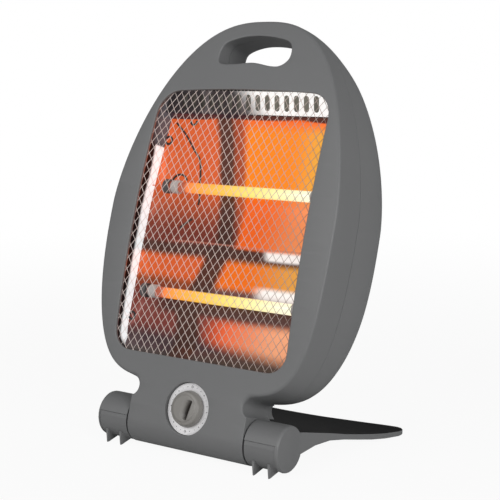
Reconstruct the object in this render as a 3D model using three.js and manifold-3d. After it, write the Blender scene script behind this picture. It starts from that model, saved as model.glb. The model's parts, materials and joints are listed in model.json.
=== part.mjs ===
// Two-tube halogen heater with a tilting egg-shaped head on a swept foot.
// Millimetres, +Z up, +X to the heater's right as seen from the front, +Y to the back.
// The origin is on the floor, in the middle of the heater's length, width and depth at rest.
//
// The head is drawn upright in its own frame: x across, y depth (the front is -y), z height
// above the hinge line. Its group is then leaned back about the hinge line. The foot is drawn
// about the hinge line too.
import * as THREE from 'three';
import { mergeGeometries, mergeVertices } from 'three/addons/utils/BufferGeometryUtils.js';
import Module from 'manifold-3d';

const wasm = await Module();
wasm.setup();

// ---------------------------------------------------------------- driving dimensions

const GAP = 0.3; // clearance between pieces that touch
const WALL = 2.5; // moulded plastic wall
const SHEET = 1.2; // folded sheet metal

// Hinge line and barrel
const HINGE_HEIGHT = 24.0;
const BARREL_RADIUS = 21.8;
const BARREL_SIDES = 32;
const BARREL_LENGTH = 211.5; // over both end discs
const CENTRE_BARREL_LENGTH = 134.6; // the piece between the two knuckles, part of the head
const HINGE_SLOT = 1.7; // between the centre barrel and a knuckle
const PIN_RADIUS = 5.0;
const PIN_GRIP = 10.0; // depth of the pin's bearing in the centre barrel
const PIN_END_ROOM = 2.25; // between the pin's end and the end disc
const END_BOSS_LENGTH = 8.0; // round the pin at the end disc
const INNER_BOSS_LENGTH = 3.0; // round the pin behind the inner disc
const BOSS_WALL = 3.5; // round each pin
const WASHER_RADIUS = 14.0;

// Head: outline of the egg-shaped face, a power curve above the widest height and another below it.
const EGG_HALF_WIDTH = 129.7;
const EGG_WIDEST_HEIGHT = 208.2;
const EGG_UPPER = { reach: 193.4, heightPower: 1.54, widthPower: 2.6 };
const EGG_LOWER = { reach: 168.3, heightPower: 2.68, widthPower: 6.17 };
const EGG_TOP = EGG_WIDEST_HEIGHT + EGG_UPPER.reach;
const EGG_BOTTOM = EGG_WIDEST_HEIGHT - EGG_LOWER.reach;

// Head: bowed face and depth
const LEAN_DEG = 17.25; // rest lean of the head
const FACE_DEPTH = 28.7; // face in front of the hinge line, at the bow's middle
const BOW_RADIUS = 996.8; // the face is bowed from top to bottom
const BOW_DROP = 28.2; // the bow's middle lies this far below the widest height
const BOW_MIDDLE = EGG_WIDEST_HEIGHT - BOW_DROP;
const BOW_BLEND = 1.5; // how softly the bow runs out into the flat neck
const PARTING_DEPTH = 6.0; // joint between the front and the rear shell
const FRONT_DRAFT = 0.135; // the front shell's flank widens by this much per mm of depth
const DRAFT_FADE = { start: 61.6, end: 1.6, share: 0.6 }; // and by less near the egg's top
const REAR_FLARE = 0.2; // the rear shell widens on by this much, less towards its ends
const FLARE_TOP = { start: 71.6, end: 1.6 }; // below the egg's top, where the flare fades out
const FLARE_BOTTOM = { start: -59.9, end: 100.1 }; // above the egg's foot, where it comes in
const EDGE_RADIUS = 4.0; // between the face and the flank
const BACK_DEPTH = 58.0; // deepest point of the rear shell
const BACK_DEPTH_TOP = 30.0;
const BACK_DEPTH_BOTTOM = 44.0;
const BACK_POWER = 2.4; // how late the back curves forward
const BACK_DROP = 18.2; // the deepest point lies this far below the widest height
const BACK_MIDDLE = EGG_WIDEST_HEIGHT - BACK_DROP;
const BACK_CORNER = 24.0; // radius between the flank and the back
const OUTLINE_STEPS = 44;
const FACE_CENTRE_DROP = 8.2; // middle of the face's rings, below the widest height
const FACE_RINGS = [0.88, 0.74, 0.6]; // rings on the face, as shares of its rim
const BACK_RINGS = [0.6];

// Neck between the head and the centre barrel
const NECK_WAIST = 61.1; // half width at its narrowest
const NECK_WAIST_DROP = 8.9; // below the egg's foot
const NECK_WAIST_HEIGHT = EGG_BOTTOM - NECK_WAIST_DROP;
const NECK_CURVE = 9.8; // radius of the hollow side
const NECK_CURVE_END = 0.85; // share of that radius that the side curves up and down for
const NECK_RISES = [-8.3, -5.5, 0, 5.5, 8.3]; // sections above and below the waist
const NECK_RISE = 8.1; // how far the neck runs up into the egg
const NECK_TOP = EGG_BOTTOM + NECK_RISE;
const NECK_BACK = 19.0; // back of the front shell's part of the neck
const NECK_CORNER = 3.0;
const TONGUE_DEPTH = 11.0; // the rear shell's part of the neck, behind it
const TONGUE_DROP = 9.0; // its foot below the neck's waist
const TONGUE_FOOT = NECK_WAIST_HEIGHT - TONGUE_DROP;

// Window and guard
const WINDOW_HALF_WIDTH = 100.0;
const WINDOW_RISE = 24.4; // its lower edge above the egg's foot
const WINDOW_DROP = 75.2; // its upper corners' ends below the egg's top
const WINDOW_BOTTOM = EGG_BOTTOM + WINDOW_RISE;
const WINDOW_TOP = EGG_TOP - WINDOW_DROP; // the top edge arches a little above it
const WINDOW_ARCH = 2.2;
const WINDOW_CORNER_LOW = 20.0;
const WINDOW_CORNER_HIGH = 25.0;
const WINDOW_SIDE_POINTS = 5;
const WINDOW_ARCH_POINTS = 3;
const GUARD_BORDER = 5.0; // guard sheet hidden behind the face
const GUARD_WIRE = 1.3;
const GUARD_SHEET = 0.8;
const GUARD_RIM = 0.5; // the diamonds run on this far behind the window's edge
const FRAME_MARGIN = 1.5; // the frame's opening is wider than the window by this much
const DIAMOND_WIDTH = 23.0;
const DIAMOND_HEIGHT = 33.0;

// Carrying handle: the opening's outline, [x, drop below the egg's top], from its lower left corner
const HANDLE_OUTLINE = [
  [-37.5, 45.6], [-41.5, 40.1], [-41.3, 30.6], [-36, 23.1], [-18, 17.6], [2.7, 16.6], [24.5, 19.6],
  [36, 23.6], [40.8, 31.3], [40.4, 41.1], [33, 47.6], [22, 48.4], [0, 44.8], [-22, 46.4],
];
const HANDLE_POINTS = 24;
const HANDLE_LINER = 2.5;

// Reflector tray and heat shield
const TRAY_MARGIN = { side: 2.0, bottom: 2.3, top: 4.6 }; // inside, beyond the window
const TRAY_HALF_WIDTH = WINDOW_HALF_WIDTH + TRAY_MARGIN.side;
const TRAY_BOTTOM = WINDOW_BOTTOM - TRAY_MARGIN.bottom;
const TRAY_TOP = WINDOW_TOP + TRAY_MARGIN.top;
const FLANGE_DROP = 22.4; // lower end of the slotted top flange, below the window's top
const FLANGE_FOOT = WINDOW_TOP - FLANGE_DROP;
const FOLD_RISE = 113.7; // ridge between the two troughs, above the window's lower edge
const FOLD_HEIGHT = WINDOW_BOTTOM + FOLD_RISE;
const TROUGH_RISE = 11.7; // lower end of the troughs
const TROUGH_FOOT = WINDOW_BOTTOM + TROUGH_RISE;
const TRAY_RIDGE_DEPTH = -3.0;
const TROUGH_DEPTH = 9.5;
const TROUGH_STEPS = 5;
const SLOT_COUNT = 16;
const SLOT_PITCH = 11.6;
const SLOT_WIDTH = 4.6;
const SLOT_LENGTH = 15.0;
const SHIELD_MARGIN = { side: 4.0, bottom: 5.7, top: 4.4 }; // inside the tray's and the window's edges
const SHIELD_HALF_WIDTH = TRAY_HALF_WIDTH - SHIELD_MARGIN.side;
const SHIELD_BOTTOM = WINDOW_BOTTOM + SHIELD_MARGIN.bottom;
const SHIELD_TOP = WINDOW_TOP - SHIELD_MARGIN.top;
const SHIELD_THICKNESS = 1.0;

// Halogen tubes
const TUBE_RADIUS = 5.5;
const TUBE_DROP = 95.4; // the upper tube below the window's top
const TUBE_RISE = 60.7; // the lower tube above its lower edge
const TUBE_HEIGHTS = { upper: WINDOW_TOP - TUBE_DROP, lower: WINDOW_BOTTOM + TUBE_RISE };
const TUBE_DEPTH = -4.0;
const TUBE_END_ROOM = 16.0; // between a tube's end and the tray's cheek
const TUBE_HALF_LENGTH = TRAY_HALF_WIDTH - TUBE_END_ROOM;
const CAP_RADIUS = 7.2;
const CAP_GRIP = 7.0; // length of tube inside a cap
const CAP_REACH = 24.0; // cap beyond the tube's end
const CAP_INNER_END = TUBE_HALF_LENGTH - CAP_GRIP;
const CAP_OUTER_END = TUBE_HALF_LENGTH + CAP_REACH;
const BRACKET_THICKNESS = 1.5;
const BRACKET_REACH = 14.0; // bracket past each tube's axis
const BRACKET_HALF_DEPTH = 10.0;

// Dial, knob and rotary switch
const DIAL_HEIGHT = 18.9;
const DIAL_RADIUS = 24.6;
const DIAL_SINK = 3.5; // dial face below the heater's face
const DIAL_THICKNESS = 1.7;
const DIAL_SIDES = 30;
const WELL_FLOOR = 2.5;
const KNOB_RADIUS = 17.3;
const KNOB_TOP_RADIUS = 14.6;
const KNOB_HEIGHT = 8.2;
const KNOB_EDGE = 1.6;
const KNOB_BORE_DEPTH = 3.5;
const GRIP_LENGTH = 21.0; // hollow in the knob's face
const GRIP_WIDTH = 12.0;
const GRIP_DEPTH = 3.6;
const GRIP_TURN_DEG = 12.0;
const SPINDLE_RADIUS = 3.0;
const SPINDLE_HOLE = 4.0;
const SPINDLE_SOCKET = 4.0; // the spindle's hold in the switch body
const SWITCH_SIZE = { width: 28, depth: 15, height: 24 };

// Tip-over switch on the heat shield
const TIP_CASE = { x: -52, width: 22, depth: 30, height: 34, rise: 30, wall: 2 };
const TIP_PIVOT_RADIUS = 1.5;
const TIP_PIVOT_DROP = 8.0; // pivot below the case's top
const TIP_ARM = 12.0; // pivot to the weight's centre
const TIP_WEIGHT_RADIUS = 4.5;
const TIP_WEIGHT_WIDTH = 9.0;
const TIP_STEM = { width: 4, depth: 2.4 };

// Small parts on the heat shield and the rear shell, each a rise or a drop from the edge it is near
const TERMINAL = { x: 40, width: 34, depth: 13, height: 16, rise: 18 };
const CUTOUT = { radius: 8.5, height: 7, x: 0, drop: 82 };
const GLAND = { x: -66, rise: 42.1, hole: 3.4, radius: 6.5, flange: 9, out: 7 };
const GLAND_TAIL = 4.0; // inside the wall
const GLAND_FLANGE = 2.0;
const GLAND_HEIGHT = EGG_BOTTOM + GLAND.rise;
const POST_RADIUS = 4.0;
const POST = { x: 78, drop: 34, rise: 48 };
const POST_PLACES = [[POST.x, SHIELD_TOP - POST.drop], [POST.x, SHIELD_BOTTOM + POST.rise]];
const VENT_ROWS = 7;
const VENT_PITCH = 13.0;
const VENT_WIDTH = 5.0;
const VENT_HALF_LENGTH = 30.0;
const VENT_X = 38.0;
const VENT_DROP = 133.6; // the vents' middle below the egg's top
const VENT_MIDDLE = EGG_TOP - VENT_DROP;

// Shell screws
const SIDE_SCREW = { x: 116, drop: 58.2 }; // below the widest height
const TOP_SCREW = { x: 63, drop: 39.6 }; // below the egg's top
const FOOT_SCREW = { x: 80, rise: 12.6 }; // above the egg's foot
const SHELL_SCREW_PLACES = [
  [SIDE_SCREW.x, EGG_WIDEST_HEIGHT - SIDE_SCREW.drop], [TOP_SCREW.x, EGG_TOP - TOP_SCREW.drop],
  [FOOT_SCREW.x, EGG_BOTTOM + FOOT_SCREW.rise],
];
const SCREW = { shank: 1.5, head: 3.1, headHeight: 2.2, length: 14, slot: 0.8 };
const SCREW_CLEARANCE = 0.3;
const SCREW_BOSS = 5.4;
const SCREW_SEAT = 3.6; // plastic under the screw's head
const SCREW_BOSS_WALL = 1.6; // round a cover screw

// Foot
const END_DISC = 3.2;
const END_EDGE = 3.0;
const INNER_DISC = 2.6;
const COVER_SPLIT_DEG = 22.0; // the lower covers' parting plane, high at the front
const COVER_STEP = 0.5; // the cover lies this much below the knuckle's surface
const COVER_WALL = 2.3;
const COVER_SCREW_DEPTH = 11.0; // behind the hinge line
const RIB_INSETS = { inner: 9.3, outer: 10.65 }; // rib middles, from the knuckle's two ends
const RIB_THICKNESS = 3.0;
// Rib outline, [y, z above the floor].
const RIB_OUTLINE = [[-19.4, 14], [-19.6, 0.6], [-19, 0], [-16.8, 0], [0, 4.6], [0, 6], [-15, 14]];
// Side edge of the foot plate, [y, z above the floor].
const PLATE_TOP = [
  [17, 35.6], [30, 32.4], [51, 27.5], [80, 19.9], [111, 13], [143, 7.3], [164, 5.4], [175, 4.8],
];
const PLATE_BOTTOM = [
  [17, 14.8], [28, 17.6], [42, 19], [55, 19], [66, 17.6], [86, 13.2], [106, 8.6], [122, 5.4],
  [143, 2.2], [160, 1], [175, 1],
];
const PLATE_CROWN = 1.2; // the middle stands higher than the side edges
const PLATE_ARCH = 1.2;
const PLATE_STATIONS = 8;
const PLATE_SECTION_STEPS = 4;
// Right half of the plate's plan, [x, y], from the knuckle round the rear corner to the middle.
const PLATE_FRONT = 17.0; // behind the hinge line, at the knuckle's end
const PLATE_PLAN = [
  [120, 90], [134, 157], [133.5, 165], [127, 171], [115, 170], [96, 165.3], [75, 160.3],
  [54, 156], [28, 152], [0, 150],
];
const PLATE_INSET = 0.05; // the plate's side starts this much inside the knuckle's end
const CRADLE_RADIUS = 40.0; // clears the neck when the head leans back
const PAD = { x: 108, y: 152, length: 34, width: 12, height: 2.4 };

// Plastic, metal and ceramic looks
const material = (color, roughness, metalness = 0, extra = {}) =>
  new THREE.MeshStandardMaterial({ color, roughness, metalness, flatShading: true, ...extra });
const greyPlastic = () => material(0x6e6f6f, 0.55);
const darkPlastic = () => material(0x2a2a2b, 0.6);
const steel = () => material(0xb9babb, 0.35, 1);

// ---------------------------------------------------------------- solids

// A closed geometry as a solid that can be cut and joined.
function solid(geometry) {
  const bare = geometry.index ? geometry.toNonIndexed() : geometry.clone();
  bare.deleteAttribute('normal');
  bare.deleteAttribute('uv');
  const merged = mergeVertices(bare, 1e-4);
  return new wasm.Manifold(new wasm.Mesh({
    numProp: 3,
    vertProperties: merged.attributes.position.array,
    triVerts: new Uint32Array(merged.index.array),
  }));
}

function geometryOf(body) {
  const mesh = body.getMesh();
  const geometry = new THREE.BufferGeometry();
  geometry.setAttribute('position', new THREE.BufferAttribute(mesh.vertProperties, 3));
  geometry.setIndex(new THREE.BufferAttribute(mesh.triVerts, 1));
  geometry.computeVertexNormals();
  return geometry;
}

const joined = (bodies) => bodies.reduce((sum, body) => sum.add(body));
const cut = (body, cutters) => cutters.reduce((left, cutter) => left.subtract(cutter), body);

function turnFacesOut(geometry) {
  const p = geometry.attributes.position;
  const [a, b, c] = [new THREE.Vector3(), new THREE.Vector3(), new THREE.Vector3()];
  const index = geometry.index.array;
  let volume = 0;
  for (let i = 0; i < index.length; i += 3) {
    a.fromBufferAttribute(p, index[i]);
    b.fromBufferAttribute(p, index[i + 1]);
    c.fromBufferAttribute(p, index[i + 2]);
    volume += a.dot(b.cross(c));
  }
  if (volume < 0) {
    for (let i = 0; i < index.length; i += 3) {
      [index[i + 1], index[i + 2]] = [index[i + 2], index[i + 1]];
    }
  }
  return geometry;
}

// A solid through rings of equally many points, closed by a fan at each end.
function loft(rings, firstCentre, lastCentre) {
  const count = rings[0].length;
  const points = rings.flat();
  const middle = (ring) => ring.reduce((s, p) => s.add(p), new THREE.Vector3()).divideScalar(count);
  points.push(firstCentre ?? middle(rings[0]), lastCentre ?? middle(rings.at(-1)));
  const index = [];
  for (let k = 0; k + 1 < rings.length; k += 1) {
    for (let i = 0; i < count; i += 1) {
      const j = (i + 1) % count;
      const [a, b, c, d] = [k * count + i, k * count + j, (k + 1) * count + i, (k + 1) * count + j];
      index.push(a, b, d, a, d, c);
    }
  }
  const last = (rings.length - 1) * count;
  for (let i = 0; i < count; i += 1) {
    const j = (i + 1) % count;
    index.push(j, i, points.length - 2, last + i, last + j, points.length - 1);
  }
  const geometry = new THREE.BufferGeometry().setFromPoints(points);
  geometry.setIndex(index);
  return turnFacesOut(geometry);
}

// A prism of a loop drawn on the face, [x, height], running from one depth to another.
function prism(loop, front, back) {
  const shape = new THREE.Shape(loop.map(([x, z]) => new THREE.Vector2(x, z)));
  const geometry = new THREE.ExtrudeGeometry(shape, { depth: back - front, bevelEnabled: false });
  return geometry.rotateX(Math.PI / 2).translate(0, back, 0);
}

// A plate of a loop drawn from the side, [y, z], standing between two x values.
function sidePlate(loop, left, right) {
  const shape = new THREE.Shape(loop.map(([y, z]) => new THREE.Vector2(y, z)));
  const geometry = new THREE.ExtrudeGeometry(shape, { depth: right - left, bevelEnabled: false });
  const axes = new THREE.Matrix4().makeBasis(
    new THREE.Vector3(0, 1, 0), new THREE.Vector3(0, 0, 1), new THREE.Vector3(1, 0, 0));
  return geometry.applyMatrix4(axes).translate(left, 0, 0);
}

function box(x0, x1, y0, y1, z0, z1) {
  return new THREE.BoxGeometry(x1 - x0, y1 - y0, z1 - z0)
    .translate((x0 + x1) / 2, (y0 + y1) / 2, (z0 + z1) / 2);
}

function rodAlongX(radius, x0, x1, y = 0, z = 0, sides = 20) {
  return new THREE.CylinderGeometry(radius, radius, x1 - x0, sides)
    .rotateZ(Math.PI / 2).translate((x0 + x1) / 2, y, z);
}

function rodAlongY(radius, y0, y1, x, z, sides = 20) {
  return new THREE.CylinderGeometry(radius, radius, y1 - y0, sides).translate(x, (y0 + y1) / 2, z);
}

// A turned solid along Y from a profile of [radius, y].
function turned(profile, sides = 24) {
  return new THREE.LatheGeometry(profile.map(([r, y]) => new THREE.Vector2(r, y)), sides);
}

const facingOut = (geometry) => {
  const bare = geometry.index ? geometry.toNonIndexed() : geometry.clone();
  bare.deleteAttribute('normal');
  bare.deleteAttribute('uv');
  return turnFacesOut(mergeVertices(bare, 1e-4));
};

// ---------------------------------------------------------------- outlines and surfaces

// The angles of a quarter turn, in degrees, in even steps.
const quarterTurn = (steps) => Array.from({ length: steps + 1 }, (_, i) => (90 * i) / steps);

// Points at even steps along a closed line of [x, z], each with its outward normal.
function evenLoop(points, count) {
  const closed = [...points, points[0]];
  const reached = [0];
  for (let i = 1; i < closed.length; i += 1) {
    const step = Math.hypot(closed[i][0] - closed[i - 1][0], closed[i][1] - closed[i - 1][1]);
    reached.push(reached[i - 1] + step);
  }
  const at = (distance) => {
    const i = Math.min(Math.max(reached.findIndex((d) => d > distance), 1), closed.length - 1);
    const t = (distance - reached[i - 1]) / (reached[i] - reached[i - 1]);
    return [0, 1].map((k) => THREE.MathUtils.lerp(closed[i - 1][k], closed[i][k], t));
  };
  const length = reached.at(-1);
  const reach = length / count / 4;
  return Array.from({ length: count }, (_, i) => {
    const [x, z] = at((i / count) * length);
    const [ax, az] = at(((i / count) * length - reach + length) % length);
    const [bx, bz] = at(((i / count) * length + reach) % length);
    const size = Math.hypot(bx - ax, bz - az);
    return { x, z, nx: (bz - az) / size, nz: (ax - bx) / size };
  });
}

function smoothLoop(points) {
  const corners = points.map(([x, z]) => new THREE.Vector3(x, z, 0));
  return new THREE.CatmullRomCurve3(corners, true, 'centripetal').getPoints(240).slice(0, -1)
    .map((p) => [p.x, p.y]);
}

// A quarter of the egg, from its widest height to its end on the middle line.
function eggQuarter({ reach, heightPower, widthPower }, sign) {
  const steps = 150;
  return Array.from({ length: steps + 1 }, (_, i) => {
    const t = (i / steps) * (Math.PI / 2);
    const x = EGG_HALF_WIDTH * Math.abs(Math.cos(t)) ** (2 / widthPower);
    return [x, EGG_WIDEST_HEIGHT + sign * reach * Math.sin(t) ** (2 / heightPower)];
  });
}

const eggRight = [...eggQuarter(EGG_LOWER, -1).reverse(), ...eggQuarter(EGG_UPPER, 1).slice(1)];
eggRight[0][0] = 0;
eggRight.at(-1)[0] = 0;
const mirrored = (half) => half.slice(1, -1).reverse().map(([x, z]) => [-x, z]);
const EGG = evenLoop([...eggRight, ...mirrored(eggRight)], OUTLINE_STEPS);

// How far the face stands in front of the hinge line at a height: a bow that runs out softly
// into a flat neck, which touches the barrel's front.
function faceDepth(z) {
  const bow = FACE_DEPTH - (z - BOW_MIDDLE) ** 2 / (2 * BOW_RADIUS);
  if (z > BOW_MIDDLE) return bow;
  return BARREL_RADIUS + BOW_BLEND * Math.log1p(Math.exp((bow - BARREL_RADIUS) / BOW_BLEND));
}

function backDepth(z) {
  const edge = z > BACK_MIDDLE ? BACK_DEPTH_TOP : BACK_DEPTH_BOTTOM;
  const reach = z > BACK_MIDDLE ? EGG_TOP - BACK_MIDDLE : BACK_MIDDLE - EGG_BOTTOM;
  return BACK_DEPTH - (BACK_DEPTH - edge) * Math.abs((z - BACK_MIDDLE) / reach) ** BACK_POWER;
}

const frontDraft = (z) => FRONT_DRAFT
  * (1 - DRAFT_FADE.share * THREE.MathUtils.smoothstep(
    z, EGG_TOP - DRAFT_FADE.start, EGG_TOP - DRAFT_FADE.end));

function eggRing(offsetAt, depthAt) {
  return EGG.map((p) => {
    const offset = offsetAt(p.z);
    const z = p.z + p.nz * offset;
    return new THREE.Vector3(p.x + p.nx * offset, depthAt(p.z), z);
  });
}

function shrunk(ring, share, centre, depthAt) {
  return ring.map((p) => {
    const q = centre.clone().lerp(p, share);
    q.y = depthAt(q.z);
    return q;
  });
}

const FACE_CENTRE = new THREE.Vector3(0, 0, EGG_WIDEST_HEIGHT - FACE_CENTRE_DROP);

// The front shell's outer form, or its hollow when inset by the wall.
function frontForm(inset, back) {
  const radius = Math.max(EDGE_RADIUS - inset, 0.5);
  const face = (z) => inset - faceDepth(z);
  const flank = (y) => (z) => frontDraft(z) * (y(z) + faceDepth(z)) - inset;
  const rings = [eggRing(flank(() => back), () => back)];
  for (const angle of quarterTurn(2).map(THREE.MathUtils.degToRad)) {
    const y = (z) => face(z) + radius * (1 - Math.sin(angle));
    rings.push(eggRing((z) => flank(y)(z) - radius * (1 - Math.cos(angle)), y));
  }
  const rim = rings.at(-1);
  for (const share of FACE_RINGS) rings.push(shrunk(rim, share, FACE_CENTRE, face));
  const last = FACE_CENTRE.clone();
  last.y = face(last.z);
  return loft(rings, undefined, last);
}

// The rear shell's outer form, or its hollow when inset by the wall.
function rearForm(inset, front) {
  const back = (z) => backDepth(z) - inset;
  const radius = BACK_CORNER - inset;
  const { smoothstep } = THREE.MathUtils;
  const flare = (z) => REAR_FLARE
    * (1 - smoothstep(z, EGG_TOP - FLARE_TOP.start, EGG_TOP - FLARE_TOP.end))
    * smoothstep(z, EGG_BOTTOM + FLARE_BOTTOM.start, EGG_BOTTOM + FLARE_BOTTOM.end);
  const flank = (y) => (z) => frontDraft(z) * (PARTING_DEPTH + faceDepth(z))
    + flare(z) * (y(z) - PARTING_DEPTH) - inset;
  const rings = [eggRing(flank(() => front), () => front)];
  for (const angle of quarterTurn(3).map(THREE.MathUtils.degToRad)) {
    const start = (z) => back(z) - radius;
    const y = (z) => start(z) + radius * Math.sin(angle);
    rings.push(eggRing((z) => flank(start)(z) - radius * (1 - Math.cos(angle)), y));
  }
  const rim = rings.at(-1);
  for (const share of BACK_RINGS) rings.push(shrunk(rim, share, FACE_CENTRE, back));
  const last = FACE_CENTRE.clone();
  last.y = back(last.z);
  return loft(rings, undefined, last);
}

// Half width of the neck at a height: two hollow sides that flare into the head and the barrel.
function neckHalfWidth(z) {
  const rise = Math.min(Math.abs(z - NECK_WAIST_HEIGHT), NECK_CURVE * NECK_CURVE_END);
  const flare = NECK_CURVE - Math.sqrt(NECK_CURVE ** 2 - rise ** 2);
  return Math.min(NECK_WAIST + flare, CENTRE_BARREL_LENGTH / 2);
}

// A block of the neck between two depths, stacked from level sections.
function neckForm(heights, halfWidth, front, back, corner) {
  const rings = heights.map((z) => {
    const [halfDepth, middle] = [(back - front(z)) / 2, (back + front(z)) / 2];
    const corners = [[1, 1], [-1, 1], [-1, -1], [1, -1]];
    return corners.flatMap(([right, rear], k) => quarterTurn(2).map((step) => {
      const a = THREE.MathUtils.degToRad(90 * k + step);
      const x = right * (halfWidth(z) - corner) + corner * Math.cos(a);
      const y = middle + rear * (halfDepth - corner) + corner * Math.sin(a);
      return new THREE.Vector3(x, y, z);
    }));
  });
  return loft(rings);
}

const NECK_SECTIONS = NECK_RISES.map((rise) => NECK_WAIST_HEIGHT + rise);
const neckFront = (z) => -faceDepth(z);

// The window's outline grown by a margin, with points close enough to follow the bow.
function windowLoop(margin) {
  const w = WINDOW_HALF_WIDTH + margin;
  const [z0, z1] = [WINDOW_BOTTOM - margin, WINDOW_TOP + margin];
  const [low, high] = [WINDOW_CORNER_LOW + margin, WINDOW_CORNER_HIGH + margin];
  const corner = (cx, cz, r, quarter) => quarterTurn(4).map((step) => {
    const a = THREE.MathUtils.degToRad(90 * quarter + step);
    return [cx + r * Math.cos(a), cz + r * Math.sin(a)];
  });
  const side = Array.from({ length: WINDOW_SIDE_POINTS }, (_, i) =>
    THREE.MathUtils.lerp(z0 + low, z1 - high, (i + 1) / (WINDOW_SIDE_POINTS + 1)));
  const arch = Array.from({ length: WINDOW_ARCH_POINTS }, (_, i) => {
    const x = (1 - (2 * (i + 1)) / (WINDOW_ARCH_POINTS + 1)) * (w - high);
    return [x, z1 + WINDOW_ARCH * (1 - (x / (w - high)) ** 2)];
  });
  return [
    ...side.map((z) => [w, z]),
    ...corner(w - high, z1 - high, high, 0), ...arch, ...corner(high - w, z1 - high, high, 1),
    ...side.slice().reverse().map((z) => [-w, z]),
    ...corner(low - w, z0 + low, low, 2), ...corner(w - low, z0 + low, low, 3),
  ];
}

const WINDOW_MIDDLE = (WINDOW_BOTTOM + WINDOW_TOP) / 2;
const GUARD_ROWS = Math.ceil((WINDOW_TOP - WINDOW_BOTTOM) / 2 / DIAMOND_HEIGHT);
const BOW_HEIGHTS = Array.from({ length: 2 * GUARD_ROWS + 3 }, (_, i) =>
  WINDOW_MIDDLE + (i - GUARD_ROWS - 1) * DIAMOND_HEIGHT);

// A thin sheet a distance behind the face and bowed with it, wider than the window.
function bowedSheet(distance, thickness) {
  const front = BOW_HEIGHTS.map((z) => [distance - faceDepth(z), z]);
  const back = front.map(([y, z]) => [y + thickness, z]).reverse();
  const reach = WINDOW_HALF_WIDTH + GUARD_BORDER + 1;
  return solid(sidePlate([...front, ...back], -reach, reach));
}

const handleLine = smoothLoop(HANDLE_OUTLINE.map(([x, drop]) => [x, EGG_TOP - drop]));
const handleLoop = (margin) => evenLoop(handleLine, HANDLE_POINTS)
  .map(({ x, z, nx, nz }) => [x - nx * margin, z - nz * margin]);

const sides = [['left', -1], ['right', 1]];
const bothSides = (places) => places.flatMap(([x, z]) => [[-x, z], [x, z]]);

// ---------------------------------------------------------------- head pieces

const HALF_CENTRE = CENTRE_BARREL_LENGTH / 2;
const PIN_BORE = PIN_RADIUS + GAP;
const DIAL_FACE = DIAL_SINK - BARREL_RADIUS; // the face is flat here, tangent to the barrel
const DIAL_SEAT = DIAL_FACE + DIAL_THICKNESS + GAP;
const SCREW_HOLE = SCREW.shank + SCREW_CLEARANCE;
const SCREW_WELL = SCREW.head + SCREW_CLEARANCE + 0.2;
const SCREW_HEAD_SEAT = PARTING_DEPTH + GAP + SCREW_SEAT;
const shellScrews = bothSides(SHELL_SCREW_PLACES);

function frontShell() {
  const outer = joined([
    solid(frontForm(0, PARTING_DEPTH)),
    solid(neckForm([0, ...NECK_SECTIONS, NECK_TOP], neckHalfWidth, neckFront, NECK_BACK, NECK_CORNER)),
    solid(rodAlongX(BARREL_RADIUS, -HALF_CENTRE, HALF_CENTRE, 0, 0, BARREL_SIDES)),
  ]);
  const inNeck = neckForm(
    [0, ...NECK_SECTIONS, NECK_TOP + WALL], (z) => neckHalfWidth(z) - WALL - 1,
    (z) => neckFront(z) + WALL, NECK_BACK - WALL, NECK_CORNER);
  const hollow = joined([
    solid(frontForm(WALL, PARTING_DEPTH + 1)),
    solid(inNeck),
    solid(rodAlongX(BARREL_RADIUS - WALL, WALL - HALF_CENTRE, HALF_CENTRE - WALL, 0, 0, BARREL_SIDES)),
  ]);
  const throughFace = (loop) => solid(prism(loop, -2 * FACE_DEPTH, PARTING_DEPTH));
  const liner = throughFace(handleLoop(HANDLE_LINER)).intersect(solid(frontForm(0, PARTING_DEPTH)));
  const wellBack = DIAL_SEAT + WELL_FLOOR;
  const well = solid(rodAlongY(DIAL_RADIUS + GAP + WALL, DIAL_FACE, wellBack, 0, DIAL_HEIGHT, DIAL_SIDES));
  const bosses = shellScrews.map(([x, z]) =>
    solid(rodAlongY(SCREW_BOSS, 1 - faceDepth(z), PARTING_DEPTH, x, z, 8)));
  const bearings = sides.map(([, s]) => solid(rodAlongX(PIN_BORE + BOSS_WALL,
    Math.min(s * (HALF_CENTRE - PIN_GRIP), s * (HALF_CENTRE - 1)),
    Math.max(s * (HALF_CENTRE - PIN_GRIP), s * (HALF_CENTRE - 1)), 0, 0, 16)));
  return cut(joined([outer.subtract(hollow), liner, well, ...bosses, ...bearings]), [
    throughFace(windowLoop(0)),
    throughFace(handleLoop(0)),
    solid(rodAlongY(DIAL_RADIUS + GAP, -2 * FACE_DEPTH, DIAL_SEAT, 0, DIAL_HEIGHT, DIAL_SIDES)),
    solid(rodAlongY(SPINDLE_HOLE, -2 * FACE_DEPTH, 0, 0, DIAL_HEIGHT, 16)),
    solid(rodAlongX(PIN_BORE, -HALF_CENTRE - 1, HALF_CENTRE + 1)),
    ...shellScrews.map(([x, z]) => solid(rodAlongY(
      SCREW_HOLE, SCREW_HEAD_SEAT - SCREW.length - 1, PARTING_DEPTH + 1, x, z, 8))),
  ]);
}

const SHELL_START = PARTING_DEPTH + GAP;
const tongueBack = NECK_BACK + GAP + TONGUE_DEPTH;

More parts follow.
